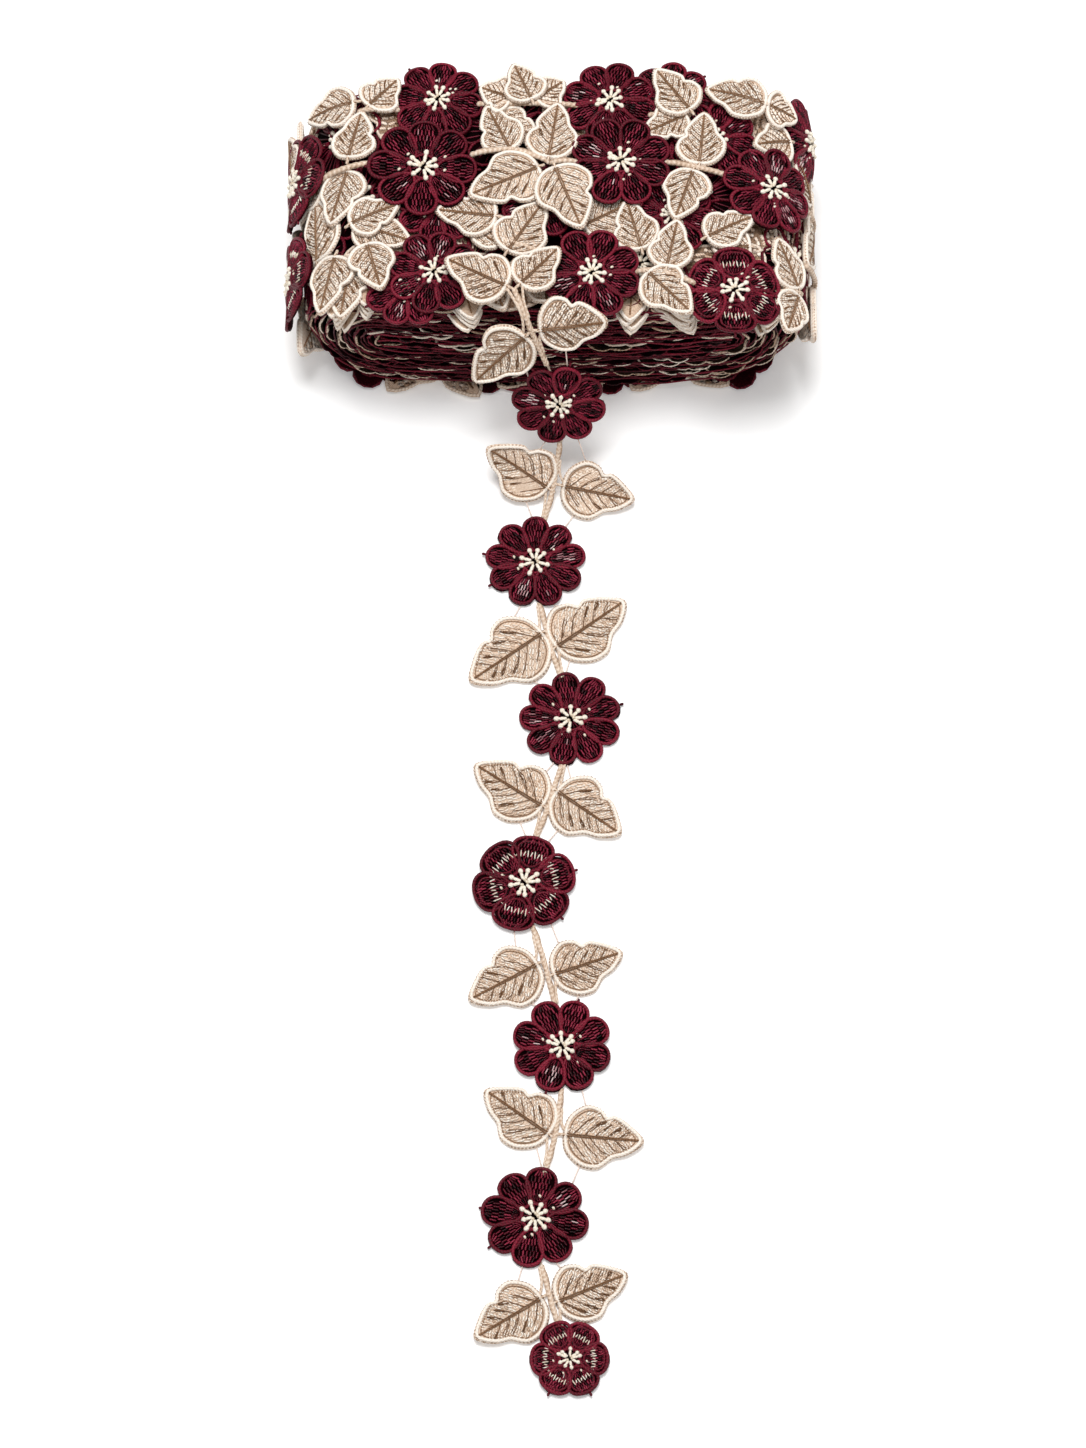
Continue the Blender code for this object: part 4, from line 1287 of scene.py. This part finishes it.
def thread_group():
    """The group: a sine of the way along and round the yarn for the plies, and noise in object space for
    the drift."""
    tree = bpy.data.node_groups.new("Wound_thread", "ShaderNodeTree")
    for name, kind in (("Dark", "Color"), ("Middle", "Color"), ("Light", "Color"), ("Plies", "Float"),
                       ("Drift", "Float"), ("Roughness", "Float")):
        tree.interface.new_socket(name, in_out="INPUT", socket_type="NodeSocket" + kind)
    for name, kind in (("Colour", "Color"), ("Roughness", "Float"), ("Height", "Float")):
        tree.interface.new_socket(name, in_out="OUTPUT", socket_type="NodeSocket" + kind)
    inside = tree.nodes.new("NodeGroupInput").outputs
    out = tree.nodes.new("NodeGroupOutput").inputs
    yarn = tree.nodes.new("ShaderNodeUVMap")
    yarn.uv_map = "yarn"
    parts = tree.nodes.new("ShaderNodeSeparateXYZ")
    link(tree, yarn.outputs[0], parts.inputs[0])
    add, times = (partial(math_node, tree, operation) for operation in ("ADD", "MULTIPLY"))
    way = add(times(parts.outputs[0], inside["Plies"]), parts.outputs[1])
    ply = math_node(tree, "SINE", times(way, 2 * np.pi))
    place = tree.nodes.new("ShaderNodeTexCoord").outputs["Object"]
    noises = []
    for scale in NOISE_SCALES:
        noise = tree.nodes.new("ShaderNodeTexNoise")
        noise.inputs["Scale"].default_value = scale
        noise.inputs["Detail"].default_value = 2.0
        link(tree, place, noise.inputs["Vector"])
        noises.append(math_node(tree, "SUBTRACT", noise.outputs["Fac"], 0.5))
    tone = tree.nodes.new("ShaderNodeAttribute")
    tone.attribute_name = "tone"
    shade = add(tone.outputs["Fac"], times(noises[0], inside["Drift"]))
    # The plies' sine also lightens and darkens the colour: painted light and shade along the twist.
    shade = add(add(shade, times(ply, PLY_PAINTED_SHADE)), times(noises[1], FUZZ_SHADE))
    doubled = times(shade, 2.0)
    low = math_node(tree, "MINIMUM", doubled, 1.0)
    high = math_node(tree, "SUBTRACT", doubled, 1.0)
    for value in (low, high):
        value.node.use_clamp = True
    first = mix_colour(tree, low, inside["Dark"], inside["Middle"])
    link(tree, mix_colour(tree, high, first, inside["Light"]), out["Colour"])
    link(tree, add(inside["Roughness"], times(noises[1], FUZZ_ROUGHNESS)), out["Roughness"])
    link(tree, add(times(ply, 0.5), noises[1]), out["Height"])
    return tree


THREAD = thread_group()
Yarn = namedtuple("Yarn", "dark middle light plies drift roughness gloss")


def thread_material(name, yarn):
    """A material of one yarn: the group's values feed a Principled shader, with the yarn's gloss set on
    it."""
    material = bpy.data.materials.new(name)
    material.use_nodes = True
    tree = material.node_tree
    shader = tree.nodes["Principled BSDF"]
    group = tree.nodes.new("ShaderNodeGroup")
    group.node_tree = THREAD
    for socket, value in (("Dark", yarn.dark), ("Middle", yarn.middle), ("Light", yarn.light)):
        group.inputs[socket].default_value = (*value, 1.0)
    group.inputs["Plies"].default_value = yarn.plies
    group.inputs["Drift"].default_value = yarn.drift
    group.inputs["Roughness"].default_value = yarn.roughness
    bump = tree.nodes.new("ShaderNodeBump")
    bump.inputs["Strength"].default_value = BUMP_STRENGTH
    bump.inputs["Distance"].default_value = BUMP_DISTANCE
    link(tree, group.outputs["Colour"], shader.inputs["Base Color"])
    link(tree, group.outputs["Roughness"], shader.inputs["Roughness"])
    link(tree, group.outputs["Height"], bump.inputs["Height"])
    link(tree, bump.outputs[0], shader.inputs["Normal"])
    shader.inputs["Specular IOR Level"].default_value = yarn.gloss
    material.diffuse_color = (*yarn.middle, 1.0)
    return material


YARNS = {name: Yarn(*numbers) for name, numbers in {
    # The flower ground is dark yarn, painted near black as the shade in the gaps between stitches and turns.
    "flower_ground": (
        (0.001, 0.0001, 0.0002), (0.022, 0.001, 0.003),
        (0.12, 0.005, 0.014), 1.2, 0.4, 0.75, 0.03),
    "petal_fill": (
        (0.002, 0.0001, 0.0004), (0.110, 0.003, 0.014),
        (0.38, 0.035, 0.075), 1.6, 0.25, 0.42, 0.22),
    # Painted sheen: pale pink yarn that stands for highlights on the shiny petals.
    "petal_sheen": ((0.20, 0.04, 0.06), (0.46, 0.22, 0.24), (0.86, 0.70, 0.68), 1.6, 0.25, 0.40, 0.40),
    "petal_cords": (
        (0.016, 0.0005, 0.002), (0.105, 0.003, 0.012),
        (0.26, 0.014, 0.036), 1.3, 0.35, 0.50, 0.18),
    "ivory_knots": ((0.34, 0.23, 0.14), (0.76, 0.65, 0.50), (0.93, 0.88, 0.78), 1.2, 0.30, 0.55, 0.30),
    # The leaf ground is tan yarn, painted darker as the shade between the fill stitches.
    "leaf_ground": ((0.20, 0.11, 0.062), (0.72, 0.53, 0.39), (0.88, 0.77, 0.66), 1.0, 0.20, 0.75, 0.10),
    # The ground of the leaf lobes on the inner turns is painted near black: the shade between the turns, not
    # the yarn's cream.
    "inner_ground": ((0.002, 0.001, 0.0006), (0.07, 0.040, 0.026), (0.40, 0.29, 0.22), 1.0, 0.30, 0.80, 0.03),
    "leaf_fill": ((0.48, 0.31, 0.20), (0.90, 0.73, 0.59), (0.98, 0.91, 0.82), 1.6, 0.25, 0.55, 0.20),
    "leaf_cords": ((0.40, 0.26, 0.17), (0.74, 0.60, 0.48), (0.93, 0.85, 0.76), 1.2, 0.35, 0.55, 0.20),
    "leaf_wraps": ((0.24, 0.14, 0.085), (0.60, 0.44, 0.33), (0.90, 0.82, 0.74), 1.4, 0.35, 0.55, 0.20),
    "leaf_veins": ((0.090, 0.040, 0.017), (0.25, 0.13, 0.064), (0.52, 0.36, 0.25), 1.4, 0.25, 0.60, 0.15),
    "stems": ((0.26, 0.16, 0.10), (0.62, 0.46, 0.34), (0.90, 0.80, 0.69), 0.9, 0.40, 0.60, 0.20),
    "bridges": ((0.60, 0.44, 0.38), (0.84, 0.70, 0.62), (0.92, 0.84, 0.78), 1.0, 0.20, 0.60, 0.20),
    "ground": ((0.30, 0.20, 0.14), (0.62, 0.49, 0.38), (0.80, 0.70, 0.58), 1.0, 0.40, 0.75, 0.10),
    "heart": ((0.001, 0.0002, 0.0003), (0.003, 0.0004, 0.0008), (0.01, 0.001, 0.002), 0.4, 0.30, 0.90, 0.0),
}.items()}
materials = {kind: thread_material("thread_" + kind, yarn) for kind, yarn in YARNS.items()}
print(len(materials), "thread materials share one group")

# %% [markdown]
# Pieces
#
# Each heap becomes one mesh. Whole arrays go into it at once, and the yarn map and the tones go with them.
# The pieces of the bundle stand for its solid, and those of the loose end for the other.

# %% Pieces
def make_piece(name, kind, bodies):
    """One mesh object from a heap of bodies, in its place, smooth, with its yarn map, tones and
    material."""
    body = joined(bodies)
    mesh = bpy.data.meshes.new(name)
    count = len(body.faces)
    mesh.vertices.add(len(body.points))
    mesh.vertices.foreach_set("co", body.points.astype(np.float32).ravel())
    mesh.loops.add(3 * count)
    mesh.loops.foreach_set("vertex_index", body.faces.astype(np.int32).ravel())
    mesh.polygons.add(count)
    mesh.polygons.foreach_set("loop_start", np.arange(0, 3 * count, 3, dtype=np.int32))
    mesh.polygons.foreach_set("use_smooth", np.ones(count, bool))
    mesh.update(calc_edges=True)
    yarn = mesh.uv_layers.new(name="yarn")
    yarn.data.foreach_set("uv", body.yarn[body.faces.ravel()].astype(np.float32).ravel())
    tone = mesh.attributes.new("tone", "FLOAT", "POINT")
    tone.data.foreach_set("value", body.tone.astype(np.float32))
    mesh.materials.append(materials[kind])
    piece = bpy.data.objects.new(name, mesh)
    bpy.context.scene.collection.objects.link(piece)
    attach(piece, "root")
    print(name, count, "triangles")
    return piece


made = {group: {} for group in heaps}
for group, kinds in heaps.items():
    for kind, bodies in kinds.items():
        made[group][kind] = make_piece(f"{group}_{kind}", kind, bodies)
for group in ("bundle", "under", "winding", "heart"):
    for piece in made[group].values():
        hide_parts("wound_bundle")
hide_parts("loose_end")
dressing = [piece for kind, piece in made["loose_end"].items() if kind != "ground"]
for piece in dressing:
    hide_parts("loose_end")

# %% [markdown]
# Surface and light
#
# The trim lies on a plain white surface under soft light from above and a little from behind, so its shadow
# falls short and soft toward the viewer. A large lamp makes soft shadows, because it shines from many
# directions.

# %% Surface and light
FLOOR_HALF = 2.0
WORLD_STRENGTH = 0.35
SURFACE_LOOK = {
    "Base Color": (0.93, 0.93, 0.93, 1), "Roughness": 0.9,
    "Emission Color": (1, 1, 1, 1), "Emission Strength": 0.18}


def stage_floor():
    """A square surface that isn't part of the trim."""
    mesh = bpy.data.meshes.new("surface")
    corners = [(x * FLOOR_HALF, y * FLOOR_HALF, 0) for x, y in ((-1, -1), (1, -1), (1, 1), (-1, 1))]
    mesh.from_pydata(corners, [], [(0, 1, 2, 3)])
    material = bpy.data.materials.new("surface_white")
    material.use_nodes = True
    shader = material.node_tree.nodes["Principled BSDF"]
    for name, value in SURFACE_LOOK.items():
        shader.inputs[name].default_value = value
    mesh.materials.append(material)
    surface = bpy.data.objects.new("surface", mesh)
    bpy.context.scene.collection.objects.link(surface)


def lamp(name, place, size, power, aim=(0, -0.08, 0)):
    """A square area lamp turned toward the trim."""
    light = bpy.data.lights.new(name, "AREA")
    light.size = size
    light.energy = power
    holder = bpy.data.objects.new(name, light)
    holder.location = place
    toward = np.array(aim) - np.array(place)
    flat = np.hypot(toward[0], toward[1])
    holder.rotation_euler = (np.arctan2(flat, -toward[2]), 0, np.arctan2(toward[1], toward[0]) - np.pi / 2)
    bpy.context.scene.collection.objects.link(holder)


stage_floor()
lamp("key_light", (-0.06, 0.12, 1.35), 0.58, 17.2)
lamp("fill_light", (0.5, -0.7, 1.2), 1.0, 2.5)
world = bpy.data.worlds.new("studio")
world.use_nodes = True
sky = world.node_tree.nodes["Background"].inputs
sky["Color"].default_value = (1, 1, 1, 1)
sky["Strength"].default_value = WORLD_STRENGTH
bpy.context.scene.world = world
bpy.context.scene.view_settings.view_transform = "Standard"
print("lights:", [item.name for item in bpy.data.lights])
